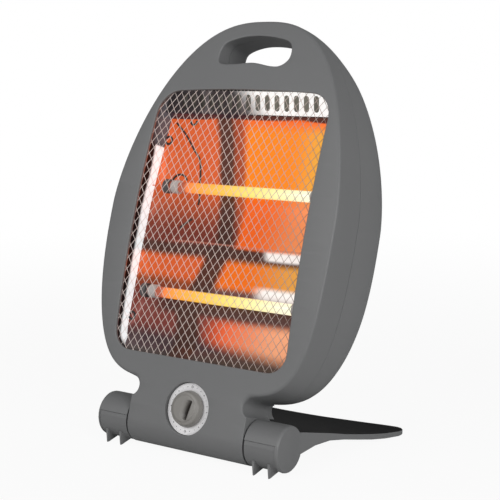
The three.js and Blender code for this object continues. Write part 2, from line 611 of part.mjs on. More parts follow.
function rearShell() {
  const hollow = solid(rearForm(WALL, SHELL_START - 1));
  const form = solid(rearForm(0, SHELL_START));
  const toBack = (loop) => solid(prism(loop, SHELL_START, 2 * BACK_DEPTH));
  const liner = toBack(handleLoop(HANDLE_LINER)).intersect(form);
  const bosses = shellScrews.map(([x, z]) =>
    solid(rodAlongY(SCREW_BOSS, SHELL_START, 2 * BACK_DEPTH, x, z, 8)).intersect(form));
  const shieldBack = SHIELD_FRONT + SHIELD_THICKNESS + GAP;
  const posts = bothSides(POST_PLACES).map(([x, z]) =>
    solid(rodAlongY(POST_RADIUS, shieldBack, 2 * BACK_DEPTH, x, z, 8)).intersect(form));
  const above = (foot) => NECK_SECTIONS.filter((z) => z > foot + 1);
  const tongueHeights = [TONGUE_FOOT, ...above(TONGUE_FOOT), NECK_TOP];
  const tongueFront = () => NECK_BACK + GAP;
  const tongue = solid(neckForm(tongueHeights, neckHalfWidth, tongueFront, tongueBack, 1));
  const inTongue = solid(neckForm(
    [TONGUE_FOOT + WALL, ...above(TONGUE_FOOT + WALL), NECK_TOP + 1],
    (z) => neckHalfWidth(z) - WALL - 1, () => NECK_BACK - 1, tongueBack - WALL, 1));
  const neckRoom = solid(neckForm(
    [0, ...NECK_SECTIONS, NECK_TOP + GAP], (z) => neckHalfWidth(z) + GAP,
    (z) => neckFront(z) - GAP, NECK_BACK + GAP, NECK_CORNER));
  const vents = bothSides(Array.from({ length: VENT_ROWS }, (_, i) =>
    [VENT_X, VENT_MIDDLE + (i - (VENT_ROWS - 1) / 2) * VENT_PITCH])).map(([x, z]) =>
    solid(box(x - VENT_HALF_LENGTH, x + VENT_HALF_LENGTH, BACK_DEPTH / 2, 2 * BACK_DEPTH,
      z - VENT_WIDTH / 2, z + VENT_WIDTH / 2)));
  const skin = form.subtract(hollow);
  const whole = joined([skin, liner, ...bosses, ...posts, tongue]);
  return cut(whole, [
    toBack(handleLoop(0)), neckRoom, inTongue, ...vents,
    solid(rodAlongY(GLAND.radius + GAP, SHELL_START, 2 * BACK_DEPTH, GLAND.x, GLAND_HEIGHT)),
    ...shellScrews.map(([x, z]) =>
      solid(rodAlongY(SCREW_HOLE, SHELL_START - 1, 2 * BACK_DEPTH, x, z, 8))),
    ...shellScrews.map(([x, z]) =>
      solid(rodAlongY(SCREW_WELL, SCREW_HEAD_SEAT, 2 * BACK_DEPTH, x, z, 10))),
  ]);
}

const GUARD_DISTANCE = WALL + 1.5 * GAP;
const FRAME_DISTANCE = GUARD_DISTANCE + GUARD_SHEET + GAP;
const TRAY_DISTANCE = FRAME_DISTANCE + SHEET + GAP;

const throughWindow = (margin) => solid(prism(windowLoop(margin), -2 * FACE_DEPTH, FACE_DEPTH));

// Expanded-metal guard: a thin sheet with rows of diamonds, bowed like the face.
function guardMesh() {
  const half = { x: DIAMOND_WIDTH / 2, z: DIAMOND_HEIGHT / 2 };
  // Each side of a diamond moves in by half a wire, measured square to that side.
  const share = 1 - (GUARD_WIRE / 2) * Math.hypot(1 / half.x, 1 / half.z);
  const across = Math.ceil(WINDOW_HALF_WIDTH / half.x);
  const diamonds = [];
  for (let i = -across; i <= across; i += 1) {
    for (let k = -2 * GUARD_ROWS; k <= 2 * GUARD_ROWS; k += 1) {
      if ((i + k) % 2 !== 0) continue;
      const [x, z] = [i * half.x, WINDOW_MIDDLE + k * half.z];
      const corners = [[1, 0], [0, 1], [-1, 0], [0, -1]];
      const loop = corners.map(([dx, dz]) => [x + dx * share * half.x, z + dz * share * half.z]);
      diamonds.push(prism(loop, -2 * FACE_DEPTH, FACE_DEPTH));
    }
  }
  const holes = solid(mergeGeometries(diamonds)).intersect(throughWindow(GUARD_RIM));
  return bowedSheet(GUARD_DISTANCE, GUARD_SHEET).intersect(throughWindow(GUARD_BORDER)).subtract(holes);
}

const guardFrame = () => bowedSheet(FRAME_DISTANCE, SHEET)
  .intersect(throughWindow(GUARD_BORDER)).subtract(throughWindow(FRAME_MARGIN));

// The tray's section, [y, height], from the front of the top flange to the front of the bottom.
function traySection(thickness) {
  const trough = (top, bottom) => Array.from({ length: TROUGH_STEPS + 1 }, (_, i) => {
    const t = i / TROUGH_STEPS;
    const bulge = (TROUGH_DEPTH - TRAY_RIDGE_DEPTH) * (1 - (2 * t - 1) ** 2);
    return [TRAY_RIDGE_DEPTH + bulge + thickness, THREE.MathUtils.lerp(top, bottom, t)];
  });
  return [
    [TRAY_DISTANCE - faceDepth(TRAY_TOP) + thickness, TRAY_TOP + thickness / 2],
    ...trough(FLANGE_FOOT, FOLD_HEIGHT), ...trough(FOLD_HEIGHT, TROUGH_FOOT).slice(1),
    [TRAY_DISTANCE - faceDepth(TRAY_BOTTOM) + thickness / 2, TRAY_BOTTOM - thickness],
  ];
}

function reflector() {
  const inner = traySection(0);
  const outer = traySection(SHEET);
  const sheet = solid(sidePlate([...inner, ...outer.slice().reverse()], -TRAY_HALF_WIDTH, TRAY_HALF_WIDTH));
  const between = BOW_HEIGHTS.filter((z) => z > TRAY_BOTTOM + 1 && z < TRAY_TOP - 1);
  const rim = [TRAY_BOTTOM, ...between, TRAY_TOP].map((z) => [TRAY_DISTANCE - faceDepth(z), z]);
  const cheeks = sides.map(([, s]) => {
    const [a, b] = [s * TRAY_HALF_WIDTH, s * (TRAY_HALF_WIDTH + SHEET)];
    return solid(sidePlate([...rim, ...outer], Math.min(a, b), Math.max(a, b)));
  });
  const [front, foot] = [inner[0], inner[1]];
  const slope = Math.atan2(foot[0] - front[0], front[1] - foot[1]);
  const slots = Array.from({ length: SLOT_COUNT }, (_, i) => {
    const slot = new THREE.BoxGeometry(SLOT_WIDTH, 8 * SHEET, SLOT_LENGTH).rotateX(slope);
    const x = (i - (SLOT_COUNT - 1) / 2) * SLOT_PITCH;
    return solid(slot.translate(x, (front[0] + foot[0]) / 2, (front[1] + foot[1]) / 2));
  });
  const capHoles = Object.values(TUBE_HEIGHTS).map((z) =>
    solid(rodAlongX(CAP_RADIUS + GAP, -CAP_OUTER_END, CAP_OUTER_END, TUBE_DEPTH, z, 20)));
  const margin = TRAY_HALF_WIDTH + SHEET + GAP - WINDOW_HALF_WIDTH;
  const tray = joined([sheet, ...cheeks]).intersect(throughWindow(margin));
  return cut(tray, [...slots, ...capHoles]);
}

const SHIELD_FRONT = TROUGH_DEPTH + SHEET + GAP;

const heatShield = () => box(-SHIELD_HALF_WIDTH, SHIELD_HALF_WIDTH,
  SHIELD_FRONT, SHIELD_FRONT + SHIELD_THICKNESS, SHIELD_BOTTOM, SHIELD_TOP);
const ON_SHIELD = SHIELD_FRONT + SHIELD_THICKNESS + GAP;

const halogenTube = (z) =>
  rodAlongX(TUBE_RADIUS, -TUBE_HALF_LENGTH, TUBE_HALF_LENGTH, TUBE_DEPTH, z, 20);

function tubeCap(side, z) {
  const ends = [side * CAP_INNER_END, side * CAP_OUTER_END];
  const cap = solid(rodAlongX(CAP_RADIUS, Math.min(...ends), Math.max(...ends), TUBE_DEPTH, z, 20));
  const socket = [side * (CAP_INNER_END - 1), side * (TUBE_HALF_LENGTH + GAP)];
  return cap.subtract(solid(rodAlongX(
    TUBE_RADIUS + GAP, Math.min(...socket), Math.max(...socket), TUBE_DEPTH, z, 20)));
}

function lampBracket(side) {
  const inner = TRAY_HALF_WIDTH + SHEET + GAP;
  const ends = [side * inner, side * (inner + BRACKET_THICKNESS)];
  const plate = solid(box(Math.min(...ends), Math.max(...ends),
    TUBE_DEPTH - BRACKET_HALF_DEPTH, TUBE_DEPTH + BRACKET_HALF_DEPTH,
    TUBE_HEIGHTS.lower - BRACKET_REACH, TUBE_HEIGHTS.upper + BRACKET_REACH));
  return cut(plate, Object.values(TUBE_HEIGHTS).map((z) =>
    solid(rodAlongX(CAP_RADIUS + GAP, -2 * inner, 2 * inner, TUBE_DEPTH, z, 20))));
}

function dialRing() {
  const back = DIAL_FACE + DIAL_THICKNESS;
  const ring = solid(rodAlongY(DIAL_RADIUS, DIAL_FACE, back, 0, DIAL_HEIGHT, DIAL_SIDES));
  return ring.subtract(solid(rodAlongY(SPINDLE_HOLE, -2 * FACE_DEPTH, 0, 0, DIAL_HEIGHT, 16)));
}

const KNOB_BASE = DIAL_FACE - GAP;

function controlKnob() {
  const top = KNOB_BASE - KNOB_HEIGHT;
  const profile = [
    [0, KNOB_BASE], [KNOB_RADIUS, KNOB_BASE], [KNOB_TOP_RADIUS + KNOB_EDGE * 0.6, top + KNOB_EDGE],
    [KNOB_TOP_RADIUS + KNOB_EDGE * 0.2, top + KNOB_EDGE * 0.3], [KNOB_TOP_RADIUS - KNOB_EDGE, top],
    [0, top],
  ];
  const body = solid(facingOut(turned(profile, 28).translate(0, 0, DIAL_HEIGHT)));
  const grip = new THREE.SphereGeometry(1, 14, 8).scale(GRIP_WIDTH / 2, GRIP_DEPTH, GRIP_LENGTH / 2)
    .rotateY(THREE.MathUtils.degToRad(GRIP_TURN_DEG)).translate(0, top, DIAL_HEIGHT);
  const bore = rodAlongY(SPINDLE_RADIUS + GAP, KNOB_BASE - KNOB_BORE_DEPTH, KNOB_BASE + 1,
    0, DIAL_HEIGHT, 20);
  return cut(body, [solid(grip), solid(bore)]);
}

const SWITCH_FRONT = DIAL_SEAT + WELL_FLOOR + GAP;

const switchSpindle = () => rodAlongY(SPINDLE_RADIUS, KNOB_BASE - KNOB_BORE_DEPTH + GAP,
  SWITCH_FRONT + SPINDLE_SOCKET, 0, DIAL_HEIGHT, 20);

function switchBody() {
  const { width, depth, height } = SWITCH_SIZE;
  const low = PIN_RADIUS + BOSS_WALL - 1;
  const block = solid(box(-width / 2, width / 2, SWITCH_FRONT, SWITCH_FRONT + depth, low, low + height));
  return block.subtract(solid(rodAlongY(SPINDLE_RADIUS + GAP, SWITCH_FRONT - 1,
    SWITCH_FRONT + SPINDLE_SOCKET + GAP, 0, DIAL_HEIGHT, 20)));
}

// Tip-over switch: an open-bottomed case with a weight that hangs plumb on a pivot.
const tipCaseTop = SHIELD_BOTTOM + TIP_CASE.rise + TIP_CASE.height / 2;
const tipPivot = new THREE.Vector3(TIP_CASE.x, ON_SHIELD + TIP_CASE.depth / 2, tipCaseTop - TIP_PIVOT_DROP);

function tipCase() {
  const { x, width, depth, height, wall } = TIP_CASE;
  const [left, right] = [x - width / 2, x + width / 2];
  const outer = solid(box(left, right, ON_SHIELD, ON_SHIELD + depth, tipCaseTop - height, tipCaseTop));
  const inner = solid(box(left + wall, right - wall, ON_SHIELD + wall, ON_SHIELD + depth - wall,
    tipCaseTop - height - 1, tipCaseTop - wall));
  const { y, z } = tipPivot;
  const pivotHole = solid(rodAlongX(TIP_PIVOT_RADIUS + GAP, left - 1, right + 1, y, z, 16));
  return cut(outer, [inner, pivotHole]);
}

// Drawn about its pivot, hanging straight down.
function tipPendulum() {
  const half = TIP_CASE.width / 2;
  const stem = new THREE.BoxGeometry(TIP_STEM.width, TIP_STEM.depth, TIP_ARM);
  return joined([
    solid(rodAlongX(TIP_PIVOT_RADIUS, -half, half, 0, 0, 16)),
    solid(stem.translate(0, 0, -TIP_ARM / 2)),
    solid(rodAlongX(TIP_WEIGHT_RADIUS, -TIP_WEIGHT_WIDTH / 2, TIP_WEIGHT_WIDTH / 2, 0, -TIP_ARM, 20)),
  ]);
}

const terminalBlock = () => box(TERMINAL.x - TERMINAL.width / 2, TERMINAL.x + TERMINAL.width / 2,
  ON_SHIELD, ON_SHIELD + TERMINAL.depth,
  SHIELD_BOTTOM + TERMINAL.rise - TERMINAL.height / 2,
  SHIELD_BOTTOM + TERMINAL.rise + TERMINAL.height / 2);
const thermalCutout = () => rodAlongY(CUTOUT.radius, ON_SHIELD, ON_SHIELD + CUTOUT.height,
  CUTOUT.x, SHIELD_TOP - CUTOUT.drop, 20);

function cordGland() {
  const back = backDepth(GLAND_HEIGHT);
  const [tail, seat] = [back - WALL - GLAND_TAIL, back + GAP];
  const profile = [
    [GLAND.hole, tail], [GLAND.radius, tail], [GLAND.radius, seat], [GLAND.flange, seat],
    [GLAND.flange, seat + GLAND_FLANGE], [GLAND.radius, back + GLAND.out],
    [GLAND.hole, back + GLAND.out], [GLAND.hole, tail],
  ];
  return facingOut(turned(profile, 16).translate(GLAND.x, 0, GLAND_HEIGHT));
}

// A pan-head screw along Y, head at the back, its head's underside at y = 0.
function screw() {
  const { shank, head, headHeight, length } = SCREW;
  const profile = [
    [0, -length], [shank, shank - length], [shank, 0], [head, 0],
    [head, headHeight / 2], [0.7 * head, headHeight], [0, headHeight],
  ];
  const body = solid(facingOut(turned(profile, 8)));
  const slot = new THREE.BoxGeometry(2.5 * head, headHeight, SCREW.slot).translate(0, headHeight, 0);
  return body.subtract(solid(slot));
}

// ---------------------------------------------------------------- foot pieces

const HALF_BARREL = BARREL_LENGTH / 2;
const KNUCKLE_START = HALF_CENTRE + HINGE_SLOT;
const KNUCKLE_HOLLOW_END = HALF_BARREL - END_DISC;
const PIN_START = HALF_CENTRE - PIN_GRIP + 1;
const PIN_END = KNUCKLE_HOLLOW_END - PIN_END_ROOM;
const RIB_PLACES = [KNUCKLE_START + RIB_INSETS.inner, HALF_BARREL - RIB_INSETS.outer];
const splitTurn = -THREE.MathUtils.degToRad(COVER_SPLIT_DEG);
const xSpan = (side, a, b) => [Math.min(side * a, side * b), Math.max(side * a, side * b)];

// The height of a side edge at a depth, read off a smooth curve through its points.
function heightAt(points, y) {
  const curve = new THREE.SplineCurve(points.map(([a, b]) => new THREE.Vector2(a, b)));
  const samples = curve.getPoints(80);
  const next = samples.findIndex((p) => p.x >= y);
  if (next <= 0) return samples[next === 0 ? 0 : samples.length - 1].y;
  const [a, b] = [samples[next - 1], samples[next]];
  return THREE.MathUtils.lerp(a.y, b.y, (y - a.x) / (b.x - a.x));
}

function platePlan() {
  const curve = new THREE.CatmullRomCurve3(
    PLATE_PLAN.slice(1).map(([x, y]) => new THREE.Vector3(x, y, 0)), false, 'centripetal');
  const round = curve.getPoints(14).map((p) => [p.x, p.y]);
  const half = [[HALF_BARREL - PLATE_INSET, PLATE_FRONT], PLATE_PLAN[0], ...round];
  return [...half, ...half.slice(0, -1).reverse().map(([x, y]) => [-x, y])];
}

function plateForm() {
  const [first, last] = [PLATE_TOP[0][0], PLATE_TOP.at(-1)[0]];
  const widest = Math.max(...PLATE_PLAN.map(([x]) => x)) + 1;
  const count = PLATE_SECTION_STEPS;
  const steps = Array.from({ length: count + 1 }, (_, i) => (2 * i) / count - 1);
  const rings = Array.from({ length: PLATE_STATIONS + 1 }, (_, i) => {
    const y = THREE.MathUtils.lerp(first, last, i / PLATE_STATIONS);
    const top = heightAt(PLATE_TOP, y);
    const bottom = heightAt(PLATE_BOTTOM, y);
    const over = steps.map((t) => new THREE.Vector3(t * widest, y, top + PLATE_CROWN * (1 - t * t)));
    const under = steps.map((t) => new THREE.Vector3(-t * widest, y, bottom + PLATE_ARCH * (1 - t * t)));
    return [...over, ...under];
  });
  const plan = new THREE.Shape(platePlan().map(([x, y]) => new THREE.Vector2(x, y)));
  const column = new THREE.ExtrudeGeometry(plan, { depth: 3 * HINGE_HEIGHT, bevelEnabled: false });
  return solid(loft(rings)).intersect(solid(column.translate(0, 0, -HINGE_HEIGHT)));
}

// A knuckle's outer form, drawn from the slot to the rounded end disc.
function knuckleForm(side) {
  const corner = quarterTurn(3).map(THREE.MathUtils.degToRad).map((a) => {
    return [BARREL_RADIUS - END_EDGE * (1 - Math.cos(a)), HALF_BARREL - END_EDGE * (1 - Math.sin(a))];
  });
  const profile = [[0, KNUCKLE_START], [BARREL_RADIUS, KNUCKLE_START], ...corner, [0, HALF_BARREL]];
  return facingOut(turned(profile, BARREL_SIDES).rotateZ(-side * Math.PI / 2));
}

// The part of a knuckle below the parting plane, where the cover goes.
function coverRoom(side) {
  const [x0, x1] = xSpan(side, KNUCKLE_START - 1, KNUCKLE_HOLLOW_END);
  const below = solid(box(x0, x1, -BARREL_RADIUS - 1, BARREL_RADIUS + 1, -BARREL_RADIUS - 1, 0)
    .rotateX(splitTurn));
  const round = solid(rodAlongX(BARREL_RADIUS + 0.1, x0, x1, 0, 0, BARREL_SIDES));
  const [d0, d1] = xSpan(side, KNUCKLE_START - 2, KNUCKLE_START + INNER_DISC);
  const disc = solid(rodAlongX(BARREL_RADIUS - COVER_STEP - COVER_WALL - GAP, d0, d1));
  return below.intersect(round).subtract(disc);
}

const screwX = (KNUCKLE_START + KNUCKLE_HOLLOW_END) / 2;
const coverScrewBoss = SCREW_HOLE + SCREW_BOSS_WALL;

function footPlate() {
  const solids = [plateForm().translate([0, 0, -HINGE_HEIGHT])];
  const hollows = [];
  for (const [, side] of sides) {
    solids.push(solid(knuckleForm(side)));
    const [x0, x1] = xSpan(side, KNUCKLE_START + INNER_DISC, KNUCKLE_HOLLOW_END);
    hollows.push(solid(rodAlongX(BARREL_RADIUS - WALL, x0, x1, 0, 0, BARREL_SIDES)), coverRoom(side));
  }
  const [cradleLeft, cradleRight] = [-KNUCKLE_START, KNUCKLE_START];
  hollows.push(solid(rodAlongX(CRADLE_RADIUS, cradleLeft, cradleRight, 0, 0, 60)));
  const shell = cut(joined(solids), hollows);
  const bosses = sides.flatMap(([, side]) => {
    const [x0, x1] = xSpan(side, KNUCKLE_HOLLOW_END - END_BOSS_LENGTH, KNUCKLE_HOLLOW_END + 1);
    const innerDisc = KNUCKLE_START + INNER_DISC;
    const [w0, w1] = xSpan(side, innerDisc - 1, innerDisc + INNER_BOSS_LENGTH);
    const screwBoss = new THREE.CylinderGeometry(coverScrewBoss, coverScrewBoss, BARREL_RADIUS, 16)
      .rotateX(Math.PI / 2).translate(side * screwX, COVER_SCREW_DEPTH, BARREL_RADIUS / 2)
      .rotateX(splitTurn);
    const inside = solid(rodAlongX(BARREL_RADIUS - 0.5, ...xSpan(side, KNUCKLE_START, KNUCKLE_HOLLOW_END)));
    return [
      solid(rodAlongX(PIN_BORE + BOSS_WALL, x0, x1)),
      solid(rodAlongX(PIN_BORE + BOSS_WALL, w0, w1)),
      solid(screwBoss).intersect(inside),
    ];
  });
  const bores = sides.flatMap(([, side]) => [
    solid(rodAlongX(PIN_BORE, ...xSpan(side, KNUCKLE_START - 1, PIN_END + GAP))),
    solid(new THREE.CylinderGeometry(SCREW_HOLE, SCREW_HOLE, 12, 12).rotateX(Math.PI / 2)
      .translate(side * screwX, COVER_SCREW_DEPTH, 5).rotateX(splitTurn)),
  ]);
  const pads = sides.map(([, side]) => {
    const [x0, x1] = xSpan(side, PAD.x - PAD.length / 2 - GAP, PAD.x + PAD.length / 2 + GAP);
    return solid(box(x0, x1, PAD.y - PAD.width / 2 - GAP, PAD.y + PAD.width / 2 + GAP,
      -HINGE_HEIGHT - 1, PAD.height + GAP - HINGE_HEIGHT));
  });
  return cut(joined([shell, ...bosses]), [...bores, ...pads]);
}

const COVER_SCREW_SEAT = -13.0; // under the screw's head, below the parting plane

// Lower cover of a knuckle with its two ribs, drawn about the hinge line.
function knuckleCover(side) {
  const [x0, x1] = xSpan(side, KNUCKLE_START + GAP, KNUCKLE_HOLLOW_END - GAP);
  const outerRadius = BARREL_RADIUS - COVER_STEP;
  const outer = solid(rodAlongX(outerRadius, x0, x1, 0, 0, BARREL_SIDES));
  const inner = solid(rodAlongX(outerRadius - COVER_WALL, x0 - 1, x1 + 1, 0, 0, BARREL_SIDES));
  const below = solid(box(x0, x1, -BARREL_RADIUS, BARREL_RADIUS, -BARREL_RADIUS, -GAP).rotateX(splitTurn));
  const ribs = RIB_PLACES.map((x) => {
    const [r0, r1] = xSpan(side, x - RIB_THICKNESS / 2, x + RIB_THICKNESS / 2);
    return solid(sidePlate(RIB_OUTLINE, r0, r1).translate(0, 0, -HINGE_HEIGHT));
  });
  const upright = (radius, from, to) => new THREE.CylinderGeometry(radius, radius, to - from, 16)
    .rotateX(Math.PI / 2).translate(side * screwX, COVER_SCREW_DEPTH, (from + to) / 2).rotateX(splitTurn);
  const boss = solid(upright(SCREW_WELL + SCREW_BOSS_WALL, -BARREL_RADIUS, -GAP)).intersect(outer);
  return cut(joined([outer.subtract(inner).intersect(below), ...ribs, boss]), [
    solid(upright(SCREW_WELL, -2 * BARREL_RADIUS, COVER_SCREW_SEAT)),
    solid(upright(SCREW_HOLE, COVER_SCREW_SEAT - 1, 1)),
  ]);
}

const hingePin = (side) => rodAlongX(PIN_RADIUS, ...xSpan(side, PIN_START, PIN_END));

function frictionWasher(side) {
  const [x0, x1] = xSpan(side, HALF_CENTRE + GAP, KNUCKLE_START - GAP);
  return solid(rodAlongX(WASHER_RADIUS, x0, x1)).subtract(solid(rodAlongX(PIN_BORE, x0 - 1, x1 + 1)));
}

// ---------------------------------------------------------------- assembly

const heater = new THREE.Group();
const head = new THREE.Group();
head.position.z = HINGE_HEIGHT;
head.rotation.x = -THREE.MathUtils.degToRad(LEAN_DEG);
const foot = new THREE.Group();
foot.position.z = HINGE_HEIGHT;
heater.add(head, foot);

function add(group, name, shape, look) {
  const geometry = shape.isBufferGeometry ? shape : geometryOf(shape);
  const mesh = new THREE.Mesh(geometry, look);
  mesh.name = name;
  group.add(mesh);
  return mesh;
}

add(head, 'front_shell', frontShell(), greyPlastic());
add(head, 'rear_shell', rearShell(), greyPlastic());
add(head, 'guard_mesh', guardMesh(), material(0xc9b9b4, 0.35, 1));
add(head, 'guard_frame', guardFrame(), steel());
add(head, 'reflector', reflector(), material(0xe4e2de, 0.12, 1));
add(head, 'heat_shield', heatShield(), material(0xc4c5c6, 0.4, 1));
for (const [level, z] of Object.entries(TUBE_HEIGHTS)) {
  add(head, `halogen_tube_${level}`, halogenTube(z),
    material(0xffc27a, 0.1, 0, { emissive: 0xff7a1a, emissiveIntensity: 1.5 }));
  for (const [name, side] of sides) {
    add(head, `tube_cap_${level}_${name}`, tubeCap(side, z), material(0xd9d6cf, 0.7));
  }
}
for (const [name, side] of sides) add(head, `lamp_bracket_${name}`, lampBracket(side), steel());
add(head, 'dial_ring', dialRing(), material(0xd2d2d4, 0.3, 0.6));
add(head, 'control_knob', controlKnob(), material(0x85827d, 0.45));
add(head, 'switch_spindle', switchSpindle(), steel());
add(head, 'rotary_switch_body', switchBody(), darkPlastic());
add(head, 'tip_switch_case', tipCase(), darkPlastic());
const pendulum = add(head, 'tip_switch_pendulum', tipPendulum(), steel());
pendulum.position.copy(tipPivot);
pendulum.rotation.x = -head.rotation.x; // it hangs plumb while the head leans back
add(head, 'terminal_block', terminalBlock(), material(0xd8d5cc, 0.6));
add(head, 'thermal_cutout', thermalCutout(), material(0x3a3a3c, 0.5));
add(head, 'cord_gland', cordGland(), material(0x1f1f20, 0.7));
shellScrews.forEach(([x, z], i) => {
  add(head, `shell_screw_${i + 1}`, screw(), steel()).position.set(x, SCREW_HEAD_SEAT + GAP / 2, z);
});

add(foot, 'foot_plate', footPlate(), greyPlastic());
for (const [name, side] of sides) {
  add(foot, `knuckle_cover_${name}`, knuckleCover(side), greyPlastic());
  add(foot, `hinge_pin_${name}`, hingePin(side), steel());
  add(foot, `friction_washer_${name}`, frictionWasher(side), material(0xa9a49a, 0.5, 0.6));
  const under = new THREE.Group();
  under.rotation.x = splitTurn;
  foot.add(under);
  const holder = add(under, `cover_screw_${name}`, screw(), steel());
  holder.rotation.x = -Math.PI / 2; // head down
  holder.position.set(side * screwX, COVER_SCREW_DEPTH, COVER_SCREW_SEAT - GAP / 2);
  const pad = new THREE.BoxGeometry(PAD.length, PAD.width, PAD.height)
    .translate(side * PAD.x, PAD.y, PAD.height / 2 - HINGE_HEIGHT);
  add(foot, `rubber_pad_${name}`, pad, material(0x1b1b1b, 0.9));
}

// The hinge line stands forward of the origin, so that the origin is in the middle of the depth.
const extent = new THREE.Box3().setFromObject(heater, true);
const middleDepth = (extent.min.y + extent.max.y) / 2;
head.position.y = -middleDepth;
foot.position.y = -middleDepth;

export default heater;
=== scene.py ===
"""Two-tube halogen heater: its visible pieces and finishes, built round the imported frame."""
import json
import math
from collections import namedtuple

import bmesh
import bpy
from bpy.props import FloatProperty, FloatVectorProperty, IntProperty, PointerProperty
from mathutils import Matrix, Vector


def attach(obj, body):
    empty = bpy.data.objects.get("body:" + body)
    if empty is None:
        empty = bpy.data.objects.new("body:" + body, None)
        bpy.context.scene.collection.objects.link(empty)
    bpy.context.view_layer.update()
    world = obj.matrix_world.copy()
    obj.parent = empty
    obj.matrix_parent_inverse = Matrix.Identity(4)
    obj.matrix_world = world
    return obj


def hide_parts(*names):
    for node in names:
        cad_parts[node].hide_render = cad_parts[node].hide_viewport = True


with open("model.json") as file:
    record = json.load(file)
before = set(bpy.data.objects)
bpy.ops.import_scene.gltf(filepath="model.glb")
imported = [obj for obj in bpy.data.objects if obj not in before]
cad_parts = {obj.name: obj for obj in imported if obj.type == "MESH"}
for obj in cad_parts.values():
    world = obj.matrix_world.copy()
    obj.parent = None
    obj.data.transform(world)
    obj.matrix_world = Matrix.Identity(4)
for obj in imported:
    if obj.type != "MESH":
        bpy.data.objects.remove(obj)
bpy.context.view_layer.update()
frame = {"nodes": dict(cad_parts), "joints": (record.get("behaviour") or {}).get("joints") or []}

bl_info = {
    "name": "Halogen heater",
    "version": (1, 0, 0),
    "blender": (4, 5, 0),
    "location": "3D View > Sidebar > Heater",
    "description": "Builds the visible pieces and finishes of a two-tube halogen heater",
    "category": "Object",
}

JOINTS = {joint["name"]: joint for joint in frame["joints"]}
HINGE = Vector(JOINTS["head_tilt"]["pos_m"])
KNOB_AXIS = Vector(JOINTS["power_knob"]["axis"])
LEAN = math.atan2(KNOB_AXIS.z, -KNOB_AXIS.y)
MILLIMETRE = Matrix.Scale(0.001, 4)

# Head pieces are drawn upright in millimetres: x across, y depth with the front at -y, z height
# above the hinge line. HEAD leans them back and stands them on the hinge.
HEAD = Matrix.Translation(HINGE) @ Matrix.Rotation(-LEAN, 4, "X") @ MILLIMETRE

BARREL_RADIUS = 21.8
HALF_CENTRE = 67.3
NECK_BACK = 19.0
NECK_FILLET = (70.9, 31.0, 9.8)
NECK_FILLET_START = 248.5
PARTING = 6.0
PARTING_GAP = 0.3
FRONT_EDGE = 2.6
EGG_HALF_WIDTH = 129.65
EGG_WIDEST = 208.2
EGG_UPPER = (192.9, 1.54, 2.6)
EGG_LOWER = (168.3, 2.68, 6.17)
BOW_MIDDLE, BOW_DEPTH, BOW_RADIUS, BOW_BLEND = 180.0, 28.7, 996.8, 1.5
BACK_MIDDLE, BACK_DEPTH, BACK_POWER = 190.0, 58.0, 2.4
BACK_UPPER = (30.0, 211.6)
BACK_LOWER = (44.0, 150.1)
FLANK_DRAFT = 0.135
FLANK_FLARE = 0.2
REAR_ROUNDING = 24.0
REAR_STEP = 2.889
FACE_CENTRE = 200.0
BACK_TURN = math.pi + math.acos(NECK_BACK / BARREL_RADIUS)
WINDOW = {"half": 100.0, "bottom": 64.3, "top": 326.4, "arch": 2.2, "low": 20.0, "high": 25.0}
HANDLE = [
    (-37.5, 356), (-41.5, 361.5), (-41.3, 371), (-36, 378.5), (-18, 384), (2.7, 385), (24.5, 382),
    (36, 378), (40.8, 370.3), (40.4, 360.5), (33, 354), (22, 353.2), (0, 356.8), (-22, 355.2),
]
DIAL_HEIGHT = 18.9
DIAL_FACE = -18.3
DIAL_WELL_RADIUS = 24.9
TUBE_HEIGHTS = {"upper": 231.0, "lower": 125.0}
TUBE_DEPTH = -4.0
SIDES = (("left", -1), ("right", 1))
FULL_TURN = 2 * math.pi


# ------------------------------------------------------------------ shapes of the mouldings


def smooth_step(value, low, high):
    share = min(max((value - low) / (high - low), 0.0), 1.0)
    return share * share * (3 - 2 * share)


def mix(a, b, share):
    return a + (b - a) * share


def face_depth(z):
    """How far the bowed face stands in front of the hinge line at a height."""
    bow = BOW_DEPTH - (z - BOW_MIDDLE) ** 2 / (2 * BOW_RADIUS)
    if z > BOW_MIDDLE:
        return bow
    return BARREL_RADIUS + BOW_BLEND * math.log1p(math.exp((bow - BARREL_RADIUS) / BOW_BLEND))


def back_depth(z):
    """How far the domed back lies behind the hinge line at a height."""
    edge, reach = BACK_UPPER if z > BACK_MIDDLE else BACK_LOWER
    return BACK_DEPTH - (BACK_DEPTH - edge) * abs((z - BACK_MIDDLE) / reach) ** BACK_POWER


def front_draft(z):
    """How much the front shell's flank widens with each millimetre of depth."""
    return FLANK_DRAFT * (1 - 0.6 * smooth_step(z, 340, 400))


def rear_flare(z):
    """How much the rear shell's flank widens with each millimetre of depth."""
    return FLANK_FLARE * (1 - smooth_step(z, 330, 400)) * smooth_step(z, -20, 140)


def egg_quarter(shape, sign):
    """From the widest height to the end on the middle line."""
    reach, height_power, width_power = shape
    for step in range(241):
        turn = step / 240 * math.pi / 2
        x = EGG_HALF_WIDTH * max(math.cos(turn), 0.0) ** (2 / width_power)
        yield x, EGG_WIDEST + sign * reach * math.sin(turn) ** (2 / height_power)


def egg_half():
    """The right half of the egg from its foot to its top."""
    return [*reversed(list(egg_quarter(EGG_LOWER, -1))), *list(egg_quarter(EGG_UPPER, 1))[1:]]


def egg_loop(spacing):
    """The whole egg at even steps, anticlockwise."""
    half = egg_half()
    return evenly(half + [(-x, z) for x, z in reversed(half[1:-1])], spacing, closed=True)


def arc(x, z, radius, start, sweep, steps):
    """Points along an arc, with its angles in degrees."""
    for step in range(steps + 1):
        turn = math.radians(start + sweep * step / steps)
        yield x + radius * math.cos(turn), z + radius * math.sin(turn)


